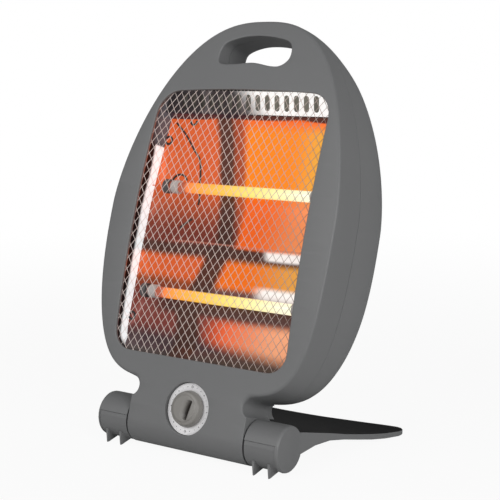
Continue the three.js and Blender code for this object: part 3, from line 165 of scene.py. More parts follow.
def evenly(points, spacing, closed=False):
    """Points at even steps along a line."""
    line = [Vector(p) for p in (*points, points[0])] if closed else [Vector(p) for p in points]
    lengths = [(b - a).length for a, b in zip(line, line[1:])]
    count = max(round(sum(lengths) / spacing), 1)
    step, result, index, passed = sum(lengths) / count, [], 0, 0.0
    for number in range(count if closed else count + 1):
        reach = number * step
        while index < len(lengths) - 1 and passed + lengths[index] < reach:
            passed += lengths[index]
            index += 1
        share = (reach - passed) / lengths[index] if lengths[index] else 0.0
        result.append(line[index].lerp(line[index + 1], min(share, 1.0)))
    return result


def outward(points, closed=True):
    """The normal of each point of a line that runs anticlockwise, away from what it bounds."""
    last = len(points) - 1
    for index in range(len(points)):
        before = points[index - 1] if closed or index else points[0]
        after = points[(index + 1) % len(points)] if closed or index < last else points[last]
        along = (after - before).normalized()
        yield Vector((along.y, -along.x))


def grown(points, margin):
    """A closed line moved outwards by a margin."""
    return [p + n * margin for p, n in zip(points, outward(points))]


def window_loop(spacing=4.0):
    """The window's outline, anticlockwise from the right side's upper corner."""
    half, bottom, top, low, high = (WINDOW[k] for k in ("half", "bottom", "top", "low", "high"))
    shares = (0.75, 0.5, 0.25, 0, -0.25, -0.5, -0.75)
    outline = [
        *arc(half - high, top - high, high, 0, 90, 12),
        *((share * (half - high), top + WINDOW["arch"] * (1 - share * share)) for share in shares),
        *arc(high - half, top - high, high, 90, 90, 12),
        *arc(low - half, bottom + low, low, 180, 90, 12),
        *arc(half - low, bottom + low, low, 270, 90, 12),
    ]
    return evenly(outline, spacing, closed=True)


def smooth_span(p0, p1, p2, p3, steps):
    """Steps of a smooth line from the second of four points to the third."""
    for step in range(steps):
        t = step / steps
        yield 0.5 * (
            2 * p1 + (p2 - p0) * t + (2 * p0 - 5 * p1 + 4 * p2 - p3) * t * t
            + (3 * p1 - p0 - 3 * p2 + p3) * t ** 3)


def smooth_closed(points, steps=12):
    """A smooth closed line through a few points."""
    count = len(points)
    for index in range(count):
        four = (Vector(points[(index + k) % count]) for k in (-1, 0, 1, 2))
        yield from smooth_span(*four, steps)


def handle_loop(spacing=1.6):
    """The handle's opening, anticlockwise."""
    return list(reversed(evenly(list(smooth_closed(HANDLE)), spacing, closed=True)))


def circle_loop(x, z, radius, count):
    turns = (FULL_TURN * index / count for index in range(count))
    return [Vector((x + radius * math.cos(a), z + radius * math.sin(a))) for a in turns]


# ------------------------------------------------------------------ modelling tools


def row_edges(bm, row, closed):
    """The edges that join a row of vertices."""
    pairs = zip(row, [*row[1:], row[0]] if closed else row[1:])
    return [bm.edges.get(pair) for pair in pairs]


def drawn_row(bm, points, closed):
    """A line of vertices and edges to start from."""
    row = [bm.verts.new(p) for p in points]
    for a, b in zip(row, [*row[1:], row[0]] if closed else row[1:]):
        bm.edges.new((a, b))
    return row


def extruded_row(bm, row, closed, places):
    """Extrudes a row of vertices and sets each new one in its place."""
    made = bmesh.ops.extrude_edge_only(bm, edges=row_edges(bm, row, closed))
    fresh = {item for item in made["geom"] if isinstance(item, bmesh.types.BMVert)}
    new_row = []
    for vertex in row:
        new_row.append(next(o for e in vertex.link_edges if (o := e.other_vert(vertex)) in fresh))
    for vertex, place in zip(new_row, places):
        vertex.co = place
    return new_row


def lofted(bm, rings, caps=True):
    """Skins closed rings one after another, and closes both ends."""
    first = row = drawn_row(bm, rings[0], True)
    for ring in rings[1:]:
        row = extruded_row(bm, row, True, ring)
    if caps:
        for end in (first, row):
            bmesh.ops.contextual_create(bm, geom=row_edges(bm, end, True))
    bmesh.ops.remove_doubles(bm, verts=bm.verts[:], dist=1e-5)
    bmesh.ops.recalc_face_normals(bm, faces=bm.faces[:])


def turned(bm, profile, centre, axis, steps):
    """Spins a profile of (radius, distance along the axis) about an axis through a centre."""
    direction = Vector(axis).normalized()
    across = direction.orthogonal().normalized()
    centre = Vector(centre)
    row = drawn_row(bm, [centre + across * r + direction * d for r, d in profile], False)
    bmesh.ops.spin(
        bm, geom=row + row_edges(bm, row, False), cent=centre, axis=direction, dvec=(0, 0, 0),
        angle=FULL_TURN, steps=steps, use_merge=True, use_duplicate=False)
    bmesh.ops.remove_doubles(bm, verts=bm.verts[:], dist=1e-4)
    bmesh.ops.recalc_face_normals(bm, faces=bm.faces[:])


def column(bm, loop, start, end):
    """A closed block of a loop drawn on the face, running from one depth to another."""
    lofted(bm, [[(p.x, start, p.y) for p in loop], [(p.x, end, p.y) for p in loop]])


def sheared_levels(bm, levels, axis):
    """Cuts the mesh at even levels, so that it can be bowed."""
    normal = Vector((0, 0, 0))
    normal[axis] = 1
    for level in levels:
        bmesh.ops.bisect_plane(
            bm, geom=bm.verts[:] + bm.edges[:] + bm.faces[:], plane_co=normal * level,
            plane_no=normal, dist=1e-4)


def mesh_of(bm, name):
    """Turns a finished bmesh into a mesh."""
    mesh = bpy.data.meshes.new(name)
    bm.to_mesh(mesh)
    bm.free()
    return mesh


def add_piece(name, mesh, place, body, finish, stands_for=(), sharp=32.0):
    """Places a finished mesh in the frame, with smooth faces between its sharp edges."""
    mesh.transform(place)
    mesh.shade_smooth()
    mesh.set_sharp_from_angle(angle=math.radians(sharp))
    piece = bpy.data.objects.new(name, mesh)
    bpy.context.scene.collection.objects.link(piece)
    for material in finish if isinstance(finish, (list, tuple)) else [finish]:
        mesh.materials.append(material)
    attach(piece, body)
    if stands_for:
        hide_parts(*stands_for)
    return piece


def head_piece(bm, name, finish, stands_for=(), sharp=32.0):
    """A piece of the head, from a bmesh drawn upright in millimetres."""
    return add_piece(name, mesh_of(bm, name), HEAD, "head", finish, stands_for, sharp)


def face_forward(bm):
    """Turns every face of a sheet so that it looks out of the window."""
    bmesh.ops.recalc_face_normals(bm, faces=bm.faces[:])
    if sum(f.normal.y * f.calc_area() for f in bm.faces) > 0:
        bmesh.ops.reverse_faces(bm, faces=bm.faces[:])


def thicken(piece, thickness):
    """Gives a sheet its thickness, behind the side that was drawn."""
    solid = piece.modifiers.new("sheet", "SOLIDIFY")
    solid.thickness = thickness
    solid.offset = -1.0
    return solid


def cut_mesh(mesh, operations, name):
    """The mesh after solid operations with other meshes, in order."""
    work = bpy.data.objects.new(name, mesh)
    bpy.context.scene.collection.objects.link(work)
    others = []
    for operation, other in operations:
        tool = bpy.data.objects.new(f"{name}_tool", other)
        bpy.context.scene.collection.objects.link(tool)
        modifier = work.modifiers.new(operation.lower(), "BOOLEAN")
        modifier.operation = operation
        modifier.solver = "EXACT"
        modifier.object = tool
        others.append(tool)
    bpy.context.view_layer.update()
    result = bpy.data.meshes.new_from_object(
        work.evaluated_get(bpy.context.evaluated_depsgraph_get()))
    for thing in (work, *others):
        bpy.data.objects.remove(thing)
    return result


def soften(piece, width):
    """A small rounded edge, as a moulding or a pressed sheet has."""
    bevel = piece.modifiers.new("edge", "BEVEL")
    bevel.width = width
    bevel.segments = 2
    bevel.limit_method = "ANGLE"
    bevel.angle_limit = math.radians(40.0)
    bevel.harden_normals = True


def dressed(node, body, finish, edge=0.0, sharp=32.0):
    """A smooth-shaded copy of a node, with softened edges, that stands for it."""
    bm = bmesh.new()
    bm.from_mesh(frame["nodes"][node].data)
    bmesh.ops.remove_doubles(bm, verts=bm.verts[:], dist=2e-6)
    bmesh.ops.dissolve_limit(
        bm, angle_limit=math.radians(0.4), use_dissolve_boundaries=False, verts=bm.verts[:],
        edges=bm.edges[:])
    mesh = mesh_of(bm, f"{node}_finish")
    mesh.materials.clear()
    piece = add_piece(f"{node}_finish", mesh, Matrix.Identity(4), body, finish, [node], sharp)
    if edge:
        soften(piece, edge)
    return piece


# ------------------------------------------------------------------ finishes


class Value:
    """A shader value that can stand in a Python expression."""

    def __init__(self, finish, socket):
        self.finish = finish
        self.socket = socket

    def math(self, operation, *values, clamp=False):
        settings = {"operation": operation, "use_clamp": clamp}
        return self.finish.node("ShaderNodeMath", settings, values)

    def __add__(self, other):
        return self.math("ADD", self, other)

    __radd__ = __add__

    def __sub__(self, other):
        return self.math("SUBTRACT", self, other)

    def __rsub__(self, other):
        return self.math("SUBTRACT", other, self)

    def __mul__(self, other):
        return self.math("MULTIPLY", self, other)

    def __truediv__(self, other):
        return self.math("DIVIDE", self, other)

    def __abs__(self):
        return self.math("ABSOLUTE", self)

    def between(self, low, high):
        """From 0 at one value to 1 at another, softly."""
        return self.finish.node(
            "ShaderNodeMapRange", {"interpolation_type": "SMOOTHSTEP"},
            {"Value": self, "From Min": low, "From Max": high})

    def clipped(self):
        return self.math("ADD", self, 0.0, clamp=True)


class Finish:
    """A material on one principled shader, and the nodes that feed it."""

    def __init__(self, name, **constants):
        self.material = bpy.data.materials.new(name)
        self.material.use_nodes = True
        self.tree = self.material.node_tree
        self.shader = self.tree.nodes["Principled BSDF"]
        for name, value in constants.items():
            socket = name.replace("_", " ").title().replace("Ior", "IOR")
            self.shader.inputs[socket].default_value = value
        self.place = self.node("ShaderNodeTexCoord", {}, {}, "Object")

    def node(self, kind, settings, values, output=0):
        made = self.tree.nodes.new(kind)
        for name, setting in settings.items():
            if name == "stops":
                ramp = made.color_ramp
                while len(ramp.elements) < len(setting):
                    ramp.elements.new(1.0)
                for element, (position, colour) in zip(ramp.elements, setting):
                    element.position = position
                    element.color = (*colour, 1.0)
            else:
                setattr(made, name, setting)
        pairs = values.items() if isinstance(values, dict) else enumerate(values)
        for key, value in pairs:
            if isinstance(value, Value):
                self.tree.links.new(value.socket, made.inputs[key])
            else:
                made.inputs[key].default_value = value
        return Value(self, made.outputs[output])

    def feed(self, socket, value):
        self.tree.links.new(value.socket, self.shader.inputs[socket])

    def blend(self, factor, first, second):
        """One colour over another. A colour is three numbers or a value."""
        ends = [c if isinstance(c, Value) else (*c, 1.0) for c in (first, second)]
        return self.node(
            "ShaderNodeMix", {"data_type": "RGBA"}, {0: factor, 6: ends[0], 7: ends[1]}, 2)

    def noise(self, scale, detail=2.0, roughness=0.5, stretch=None):
        place = self.place
        if stretch:
            place = self.node("ShaderNodeMapping", {}, {"Vector": self.place, "Scale": stretch})
        return self.node(
            "ShaderNodeTexNoise", {},
            {"Vector": place, "Scale": scale, "Detail": detail, "Roughness": roughness}, "Fac")

    def bump(self, height, distance, strength=1.0):
        self.feed("Normal", self.node(
            "ShaderNodeBump", {}, {"Height": height, "Distance": distance, "Strength": strength},
            "Normal"))

    def heights(self):
        """Across, up and into the head in millimetres, whatever its lean."""
        parts = self.tree.nodes.new("ShaderNodeSeparateXYZ")
        self.tree.links.new(self.place.socket, parts.inputs[0])
        x, y, z = (Value(self, socket) for socket in parts.outputs)
        up = (z - HINGE.z) * (1000 * math.cos(LEAN)) + (y - HINGE.y) * (1000 * math.sin(LEAN))
        depth = (y - HINGE.y) * (1000 * math.cos(LEAN)) - (z - HINGE.z) * (1000 * math.sin(LEAN))
        return x * 1000, up, depth


def moulded(name, colour, roughness, grain=0.00004, hollow=False):
    """Satin plastic with a fine grain and faint clouds. The knob's hollow is darkened with painted
    shade.
    """
    finish = Finish(name, roughness=roughness)
    cloud = finish.noise(9.0, 3.0)
    speck = finish.noise(2600.0, 1.0)
    dark = [c * 0.94 for c in colour]
    light = [min(c * 1.06, 1.0) for c in colour]
    tone = finish.blend((cloud * 0.7 + speck * 0.3).clipped(), dark, light)
    if hollow:
        x, up, depth = finish.heights()
        rise = up - DIAL_HEIGHT
        away = x.math("SQRT", x * x + rise * rise)
        # Painted shade: the deep middle of the knob's hollow is darkened in the base colour.
        hollow_shade = (1 - away.between(9, 12)) * depth.between(-26.6, -22.4)
        tone = finish.blend(hollow_shade * 0.92, tone, (0.020, 0.014, 0.010))
    finish.feed("Base Color", tone)
    finish.feed("Roughness", (roughness + (cloud - 0.5) * 0.08 + (speck - 0.5) * 0.10).clipped())
    finish.bump(finish.noise(1500.0, 2.0), grain, 0.5)
    return finish.material


def sheet_metal(name, colour, roughness, stretch=(1, 60, 60)):
    """Rolled or plated sheet with faint drawing lines."""
    finish = Finish(name, roughness=roughness, metallic=1.0)
    lines = finish.noise(60.0, 3.0, 0.6, stretch)
    tone = finish.noise(25.0, 2.0)
    finish.feed("Base Color", finish.blend(
        (lines * 0.6 + tone * 0.4).clipped(), [c * 0.86 for c in colour], colour))
    finish.feed("Roughness", (roughness + (lines - 0.5) * 0.16).clipped())
    finish.bump(lines, 0.00002, 0.4)
    return finish.material


def matt(name, colour, roughness, scale=900.0, depth=0.00006, gloss=0.5):
    """Ceramic, rubber or dark moulded pieces, with a fine grain."""
    finish = Finish(name, roughness=roughness, specular_ior_level=gloss)
    grain = finish.noise(scale, 3.0, 0.6)
    stain = finish.noise(60.0, 2.0)
    finish.feed("Base Color", finish.blend(
        (grain * 0.4 + stain * 0.6).clipped(), [c * 0.82 for c in colour], colour))
    finish.feed("Roughness", (roughness + (grain - 0.5) * 0.2).clipped())
    finish.bump(grain, depth, 0.5)
    return finish.material


def upper_trough_painted_reflection(finish, x, up, shift):
    """Painted reflection in the upper trough: red to the left of the dark band, amber to its right,
    with a reddish band beside the dark one.
    """
    left_tone = finish.blend(up.between(182, 250), (0.16, 0.032, 0.022), (0.70, 0.115, 0.028))
    amber = finish.blend(x.between(45, 90), (0.94, 0.225, 0.003), (0.74, 0.37, 0.045))
    coral = finish.blend(x.between(25, 90), (0.85, 0.125, 0.012), (0.85, 0.28, 0.105))
    right_tone = finish.blend(up.between(222, 238), coral, amber)
    right_tone = finish.blend(up.between(290, 305), right_tone, (0.86, 0.140, 0.022))
    right = (shift - (up - 180) * 0.09).between(11, 20)
    upper = finish.blend(right, left_tone, right_tone)
    # Painted reflection: a reddish band beside the dark one.
    reddish_reflection_band = (1 - (abs(shift - 15) - 5).between(-2, 5)) * up.between(195, 250)
    return finish.blend(reddish_reflection_band * 0.75, upper, (0.27, 0.042, 0.014))


def lower_trough_painted_reflection(finish, x, up, shift, glint):
    """Painted reflection in the lower trough above its tube, with the painted glint under the fold."""
    left_tone = finish.blend(up.between(136, 146), (0.24, 0.045, 0.014), (0.68, 0.110, 0.024))
    right_tone = finish.blend(x.between(20, 85), (0.88, 0.165, 0.010), (0.78, 0.36, 0.070))
    trough = finish.blend(shift.between(10, 22), left_tone, right_tone)
    # Painted shade: a dark band just under the fold.
    trough = finish.blend(up.between(160, 168), trough, (0.070, 0.028, 0.022))
    trough = finish.blend(glint, trough, (0.97, 0.90, 0.86))
    # Painted shade: dark purple just above the lower tube, right of the dark band.
    shade = (1 - up.between(133, 141)) * shift.between(0, 14)
    trough = finish.blend(shade, trough, (0.120, 0.060, 0.058))
    # Painted pale highlight just above the lower tube.
    pale = up.between(128, 133) * (1 - up.between(139, 145)) * x.between(28, 46)
    return finish.blend(pale, trough, (0.98, 0.93, 0.88))


def below_tube_painted_reflection(finish, x, up):
    """Painted reflection on the sheet below the lower tube, with painted shade under the tube and along
    the tray's foot.
    """
    low_left = finish.blend(up.between(78, 96), (0.055, 0.034, 0.038), (0.175, 0.042, 0.034))
    # Painted reflection: a salmon patch below the lower tube.
    blob = x.between(-26, 14) * (up + x * 0.09).between(74, 90) * (1 - up.between(99, 113))
    salmon = finish.blend(x.between(-10, 80), (0.82, 0.105, 0.026), (0.88, 0.38, 0.20))
    low = finish.blend(blob, low_left, salmon)
    # Painted shade under the lower tube, at the left.
    under = up.between(104, 112) * (1 - up.between(128, 136)) * x.between(-100, -60)
    low = finish.blend(under, low, (0.060, 0.026, 0.022))
    # Painted shade along the tray's foot.
    return finish.blend(up.between(65, 71), (0.045, 0.036, 0.034), low)


def painted_reflection_sheet():
    """Bright rolled sheet with the reflections of the lit tubes painted in as base colour and emission:
    orange bands, a dark one, pale streaks and glints.
    """
    finish = Finish("reflector_painted_glow", metallic=1.0, roughness=0.25)
    x, up, _ = finish.heights()
    ripple = finish.noise(14.0, 2.0, 0.5)
    x = x + (ripple - 0.5) * 9
    up = up + (ripple - 0.5) * 5
    above = up.between(174, 178)
    low_up = up.math("MINIMUM", up, 112.0)
    high_up = up.math("MAXIMUM", up, 112.0)
    centre_above = (up - 180) * -0.25 - 4.5
    centre_below = (172 - high_up) * -0.52 - 10 + (112 - low_up) * 0.33
    shift = x - (above * centre_above + (1 - above) * centre_below)
    half = 8.8 + (1 - above) * 3.2
    # Painted reflection: a dark band runs down both troughs.
    band = 1 - (abs(shift) - half).between(-3, 5)
    # Painted glint under the fold, on the right.
    glint = up.between(166, 170) * x.between(40, 50)

    upper = upper_trough_painted_reflection(finish, x, up, shift)
    trough = lower_trough_painted_reflection(finish, x, up, shift, glint)
    lower = finish.blend(up.between(124, 138), below_tube_painted_reflection(finish, x, up), trough)
    glow = finish.blend(above, lower, upper)
    glow = finish.blend(band * (1 - glint) * 0.95, glow, (0.052, 0.024, 0.019))
    # Painted highlight along the fold line, at the left.
    fold = (1 - (abs(up - 178) - 0.35).between(0, 0.9)) * x.between(-75, -50)
    glow = finish.blend(fold * 0.55, glow, (0.55, 0.20, 0.14))
    # Painted shade just under the flange's ledge.
    ledge = up.between(303.2, 304.4)
    glow = finish.blend(ledge, glow, (0.030, 0.020, 0.026))
    # The base colour stays dark; the painted emission carries the reflections.
    finish.feed("Base Color", finish.blend(0.88, glow, (0.030, 0.020, 0.018)))
    finish.feed("Emission Color", glow)
    finish.shader.inputs["Emission Strength"].default_value = 0.93
    finish.feed("Roughness", (0.22 + ripple * 0.08).clipped())
    return finish.material


def bright_flange():
    """The slotted flange, with a painted reflection of the room on its right side only: brighter base
    colour and emission there, and painted streaks on the dull part.
    """
    finish = Finish("reflector_flange", metallic=1.0, roughness=0.22)
    x, up, _ = finish.heights()
    ripple = finish.noise(30.0, 2.0)
    painted_streak = finish.noise(55.0, 2.0, 0.6, (1, 0.05, 0.05))
    # Painted reflection: the right side of the flange is lit up in base colour and emission.
    lit = (x + (ripple - 0.5) * 10 - (318 - up) * 0.9).between(-14, 22)
    plain = finish.blend(painted_streak.between(0.45, 0.62), (0.050, 0.042, 0.044), (0.24, 0.21, 0.215))
    dull = finish.blend(x.between(-85, -40), (0.030, 0.025, 0.027), plain)
    finish.feed("Base Color", finish.blend(lit, dull, (0.80, 0.79, 0.78)))
    finish.feed("Emission Color", finish.blend(lit, (0.026, 0.022, 0.023), (0.70, 0.69, 0.68)))
    finish.shader.inputs["Emission Strength"].default_value = 1.0
    finish.feed("Roughness", (0.18 + ripple * 0.1).clipped())
    finish.bump(ripple, 0.0002, 0.4)
    return finish.material


def dull_screen():
    """The sheet behind the slots, with random stains and a little of the window's light painted on its
    right side as emission.
    """
    finish = Finish("slot_screen", metallic=0.4, roughness=0.6)
    stain = finish.noise(70.0, 3.0, 0.6, (1, 0.1, 0.1))
    x, _, _ = finish.heights()
    tone = finish.blend(stain.between(0.3, 0.7), (0.075, 0.070, 0.056), (0.135, 0.128, 0.108))
    finish.feed("Base Color", tone)
    # Painted light: the right side of the screen glows a little.
    finish.feed("Emission Color", finish.blend(x.between(-60, 30), (0.022, 0.019, 0.018), tone))
    finish.shader.inputs["Emission Strength"].default_value = 0.75
    finish.feed("Roughness", (0.5 + stain * 0.2).clipped())
    return finish.material


def bright_cheek():
    """The side cheeks, with painted light and shade: dark towards the guard, a painted pale reflection
    along the sheet and a faint painted glow near the top.
    """
    finish = Finish("reflector_cheek", metallic=1.0, roughness=0.25)
    x, up, depth = finish.heights()
    ripple = finish.noise(45.0, 2.0)
    # Painted reflection: a pale strip along the sheet's end, bright in base colour and emission.
    edge = up.between(190, 262) * 4.5 + (1 - up.between(80, 120)) * 1.5 - 14.0
    strip = (depth - edge + (ripple - 0.5) * 3).between(-3.0, 1.5)
    strip = strip * (1 - up.between(270, 273)) * up.between(66, 74) * (1 - x.between(-50, 50))
    # Painted glow from the window on the cheek, near the top.
    painted_haze = up.between(268, 276) * (depth + 20).between(-4, 14)
    # Elsewhere the cheek is painted shade, dark towards the guard.
    dark = finish.blend(painted_haze, (0.026, 0.021, 0.021), (0.060, 0.058, 0.066))
    finish.feed("Base Color", finish.blend(strip, dark, (0.50, 0.48, 0.47)))
    glow = finish.blend(painted_haze, (0.006, 0.005, 0.005), (0.088, 0.080, 0.088))
    finish.feed("Emission Color", finish.blend(strip, glow, (0.84, 0.87, 0.88)))
    finish.shader.inputs["Emission Strength"].default_value = 1.0
    finish.feed("Roughness", (0.2 + ripple * 0.12).clipped())
    finish.bump(ripple, 0.0002, 0.3)
    return finish.material


def lit_tube():
    """Quartz tube glowing through its emission, with a painted brightening from red at the left end to
    pale yellow at the right.
    """
    finish = Finish("lit_quartz", roughness=0.08, coat_weight=0.6)
    x, up, _ = finish.heights()
    wave = finish.noise(40.0, 1.0, 0.5, (1, 0.2, 0.2))
    # Painted brightening along the tube, from left to right.
    share = (x + 75 - up.between(150, 200) * 5) / 162 + (wave - 0.5) * 0.03
    glow = finish.node("ShaderNodeValToRGB", {"stops": [
        (0.000, (0.34, 0.07, 0.035)), (0.065, (0.40, 0.08, 0.040)), (0.095, (0.92, 0.22, 0.05)),
        (0.170, (1.0, 0.36, 0.045)), (0.360, (1.0, 0.55, 0.07)), (0.570, (1.0, 0.80, 0.20)),
        (0.770, (1.0, 0.94, 0.46)), (0.950, (1.0, 0.98, 0.72)),
    ]}, [share.clipped()], "Color")
    finish.feed("Base Color", finish.blend(0.9, glow, (0.06, 0.03, 0.02)))
    finish.feed("Emission Color", glow)
    finish.shader.inputs["Emission Strength"].default_value = 1.0
    return finish.material


def finishes():
    """Every finish of the heater, by its slot in the record."""
    settings = bpy.context.scene.heater_finish
    wire = Finish("plated_wire", metallic=0.2, roughness=0.34)
    tarnish = wire.noise(120.0, 2.0)
    x, _, _ = wire.heights()
    # Random tarnish, and painted shade that darkens the wire towards the right.
    tarnish_and_shade = (tarnish * 0.25 + x.between(-20, 105) * 0.6).clipped()
    wire.feed("Base Color", wire.blend(tarnish_and_shade, settings.wire, (0.34, 0.25, 0.215)))
    wire.feed("Roughness", (0.28 + tarnish * 0.14).clipped())
    wire.bump(wire.noise(2400.0, 1.0), 0.00003, 0.4)
    return {
        "grey_plastic": moulded("satin_grey_plastic", settings.shell, 0.5),
        # Near-black painted shade for the foot plate's top behind the head.
        "foot_top_shade": matt("foot_top_shade", (0.010, 0.010, 0.0105), 0.65, 1500.0, 0.00004, 0.12),
        "dark_plastic": matt("dark_moulding", (0.022, 0.022, 0.023), 0.6),
        "knob_plastic": moulded("knob_plastic", settings.knob, 0.42, 0.00002, hollow=True),
        "dial_print": dial_silver(settings.dial),
        "dial_marks": matt("dial_marks", (0.055, 0.055, 0.060), 0.5),
        "reflector_sheet": painted_reflection_sheet(),
        "flange": bright_flange(),
        "screen": dull_screen(),
        "cheek": bright_cheek(),
        "guard_wire": wire.material,
        "plain_steel": sheet_metal("plain_steel", (0.52, 0.52, 0.52), 0.38),
        "quartz_glass": lit_tube(),
        "ceramic": matt("ceramic", (0.60, 0.57, 0.55), 0.65, 700.0),
        "holder": matt("dark_holder", (0.105, 0.098, 0.100), 0.45, 500.0),
        "rubber": matt("rubber", (0.016, 0.016, 0.017), 0.85, 1400.0, 0.0001),
        "brass": sheet_metal("washer_metal", (0.45, 0.41, 0.34), 0.45),
    }


def dial_silver(colour):
    """Silver print on the dial, with fine specks."""
    finish = Finish("dial_silver", roughness=0.34, metallic=0.1)
    speck = finish.noise(2200.0, 2.0)
    finish.feed("Base Color", finish.blend(speck, [c * 0.92 for c in colour], colour))
    finish.feed("Roughness", (0.28 + speck * 0.12).clipped())
    finish.bump(speck, 0.00001, 0.5)
    return finish.material


FINISHES = {}


def finish_of(slot):
    if not FINISHES:
        FINISHES.update(finishes())
    return FINISHES[slot]


# ------------------------------------------------------------------ settings


class HeaterFinish(bpy.types.PropertyGroup):
    shell: FloatVectorProperty(
        name="Shell", description="Colour of the grey mouldings", subtype="COLOR",
        default=(0.158, 0.160, 0.162), min=0.0, max=1.0)
    knob: FloatVectorProperty(
        name="Knob", description="Colour of the control knob", subtype="COLOR",
        default=(0.235, 0.225, 0.210), min=0.0, max=1.0)
    dial: FloatVectorProperty(
        name="Dial", description="Colour of the dial ring's print", subtype="COLOR",
        default=(0.88, 0.87, 0.88), min=0.0, max=1.0)
    wire: FloatVectorProperty(
        name="Guard", description="Colour of the guard's plated wire", subtype="COLOR",
        default=(0.86, 0.76, 0.72), min=0.0, max=1.0)


class HeaterShell(bpy.types.PropertyGroup):
    outline_step: FloatProperty(
        name="Outline step", description="Distance between the outline's points, in millimetres",
        default=3.2, min=1.0, max=10.0)
    face_step: FloatProperty(
        name="Face step", description="Distance between the levels that bow the face, in millimetres",
        default=3.0, min=1.0, max=10.0)
    wall: FloatProperty(
        name="Wall", description="Thickness of the mouldings' walls, in millimetres", default=2.5,
        min=1.0, max=5.0)
    edge: FloatProperty(
        name="Edge", description="Rounding of small edges, in millimetres", default=0.35, min=0.0,
        max=1.0)


class HeaterGuard(bpy.types.PropertyGroup):
    cell_width: FloatProperty(
        name="Diamond width", description="Width of a diamond of the guard, in millimetres",
        default=8.6, min=4.0, max=30.0)
    cell_height: FloatProperty(
        name="Diamond height", description="Height of a diamond of the guard, in millimetres",
        default=11.8, min=4.0, max=40.0)
    wire: FloatProperty(
        name="Wire", description="Width of the guard's strands, in millimetres", default=0.8,
        min=0.3, max=3.0)


class HeaterDial(bpy.types.PropertyGroup):
    marks: IntProperty(
        name="Marks", description="Number of dots round the dial", default=24, min=6, max=60)
    mark_radius: FloatProperty(
        name="Mark circle", description="Radius of the circle of dots, in millimetres",
        default=20.9, min=18.0, max=24.0)
    grip_turn: FloatProperty(
        name="Grip turn", description="Turn of the knob's hollow at rest", subtype="ANGLE",
        default=math.radians(12.0))


class HeaterStage(bpy.types.PropertyGroup):
    ambient: FloatProperty(
        name="Ambient", description="Strength of the even light from all round", default=0.26,
        min=0.0, max=2.0)
    key: FloatProperty(
        name="Key", description="Power of the large soft lamp, in watts", default=22.0, min=0.0,
        max=200.0)
    lens: FloatProperty(
        name="Lens", description="Focal length of the camera, in millimetres", default=88.2,
        min=20.0, max=300.0)


# ------------------------------------------------------------------ pieces


RimPoint = namedtuple("RimPoint", "x height radius draft back")


def front_outline(step):
    """The face's outline from the barrel's lowest line, up the right side to the top.

    Each point has its edge radius, its draft and how far behind the hinge line the flank runs.
    Heights below the hinge line run round the barrel.
    """
    points = []
    for p in evenly([(HALF_CENTRE, -BARREL_RADIUS * math.pi / 2), (HALF_CENTRE, 21.9)], 2.4)[:-1]:
        points.append(RimPoint(p.x, p.y, 0.5, 0.0, None))
    steps = 24
    for step_number, spot in enumerate(arc(*NECK_FILLET, NECK_FILLET_START, -143.5, steps)):
        share = step_number / steps
        radius = mix(0.5, 4.0, smooth_step(share, 0, 1))
        points.append(RimPoint(*spot, radius, FLANK_DRAFT * smooth_step(share, 0.45, 1), NECK_BACK))
    egg = [p for p in egg_half() if p[1] > EGG_WIDEST or p[0] > 75]
    for p in evenly(egg, step):
        points.append(RimPoint(p.x, p.y, FRONT_EDGE, front_draft(p.y), PARTING))
    return points


def flank_depth(height, back):
    """How far behind the face the flank's back edge lies."""
    if height < 0:
        return 2 * BARREL_RADIUS * math.cos(height / BARREL_RADIUS)
    if back is None or (back == NECK_BACK and height < 10.7):
        return face_depth(height) + math.sqrt(max(BARREL_RADIUS ** 2 - min(height, 10.69) ** 2, 0))
    return face_depth(height) + back


def on_face(x, height, depth):
    """A point of the drawn face in the head's frame: bowed above, round the barrel below."""
    if height >= 0:
        return Vector((x, depth - face_depth(height), height))
    turn = -height / BARREL_RADIUS
    if turn <= BACK_TURN:
        return Vector((x, depth - BARREL_RADIUS * math.cos(turn), -BARREL_RADIUS * math.sin(turn)))
    start = -BARREL_RADIUS * math.sin(BACK_TURN)
    return Vector((x, NECK_BACK + depth, start + (turn - BACK_TURN) * BARREL_RADIUS))


def unrolled(loop):
    """A loop drawn on the front view, with what lies below the hinge line laid round the barrel."""
    for p in loop:
        below = -BARREL_RADIUS * math.asin(min(max(-p.y / BARREL_RADIUS, 0), 1))
        yield Vector((p.x, p.y if p.y >= 0 else below))


def neck_back_edge():
    """The right edge of the barrel's back and of the neck's back wall, upwards."""
    start = -BARREL_RADIUS * BACK_TURN
    rise = -BARREL_RADIUS * math.sin(BACK_TURN)
    points = [(HALF_CENTRE, -BARREL_RADIUS * math.pi / 2 - 2), (HALF_CENTRE, start)]
    for x, height in arc(*NECK_FILLET, NECK_FILLET_START, -120, 12):
        points.append((x, start - (height - rise)))
    return points


ROUNDING = [math.radians(a) for a in (90, 75, 60, 45, 30, 15, 0)]


def rounded_hole(bm, loop, radius, bottom):
    """Draws the outer line of an opening in the face, and keeps what its wall needs."""
    closed = list(loop)
    normals = list(outward(closed))
    row = drawn_row(bm, [(p.x, p.y, 0) for p in grown(closed, radius)], True)
    return row, closed, normals, radius, bottom


def roll_hole(bm, row, closed, normals, radius, bottom):
    """Rolls the edge of an opening over and runs its wall down to a depth."""
    for turn in ROUNDING[1:]:
        out = radius * (1 - math.cos(turn))
        sink = radius * (1 - math.sin(turn))
        row = extruded_row(bm, row, True, [
            (p.x + n.x * out, p.y + n.y * out, sink) for p, n in zip(closed, normals)])
    return extruded_row(bm, row, True, [(p.x, p.y, bottom(p.y)) for p in closed])


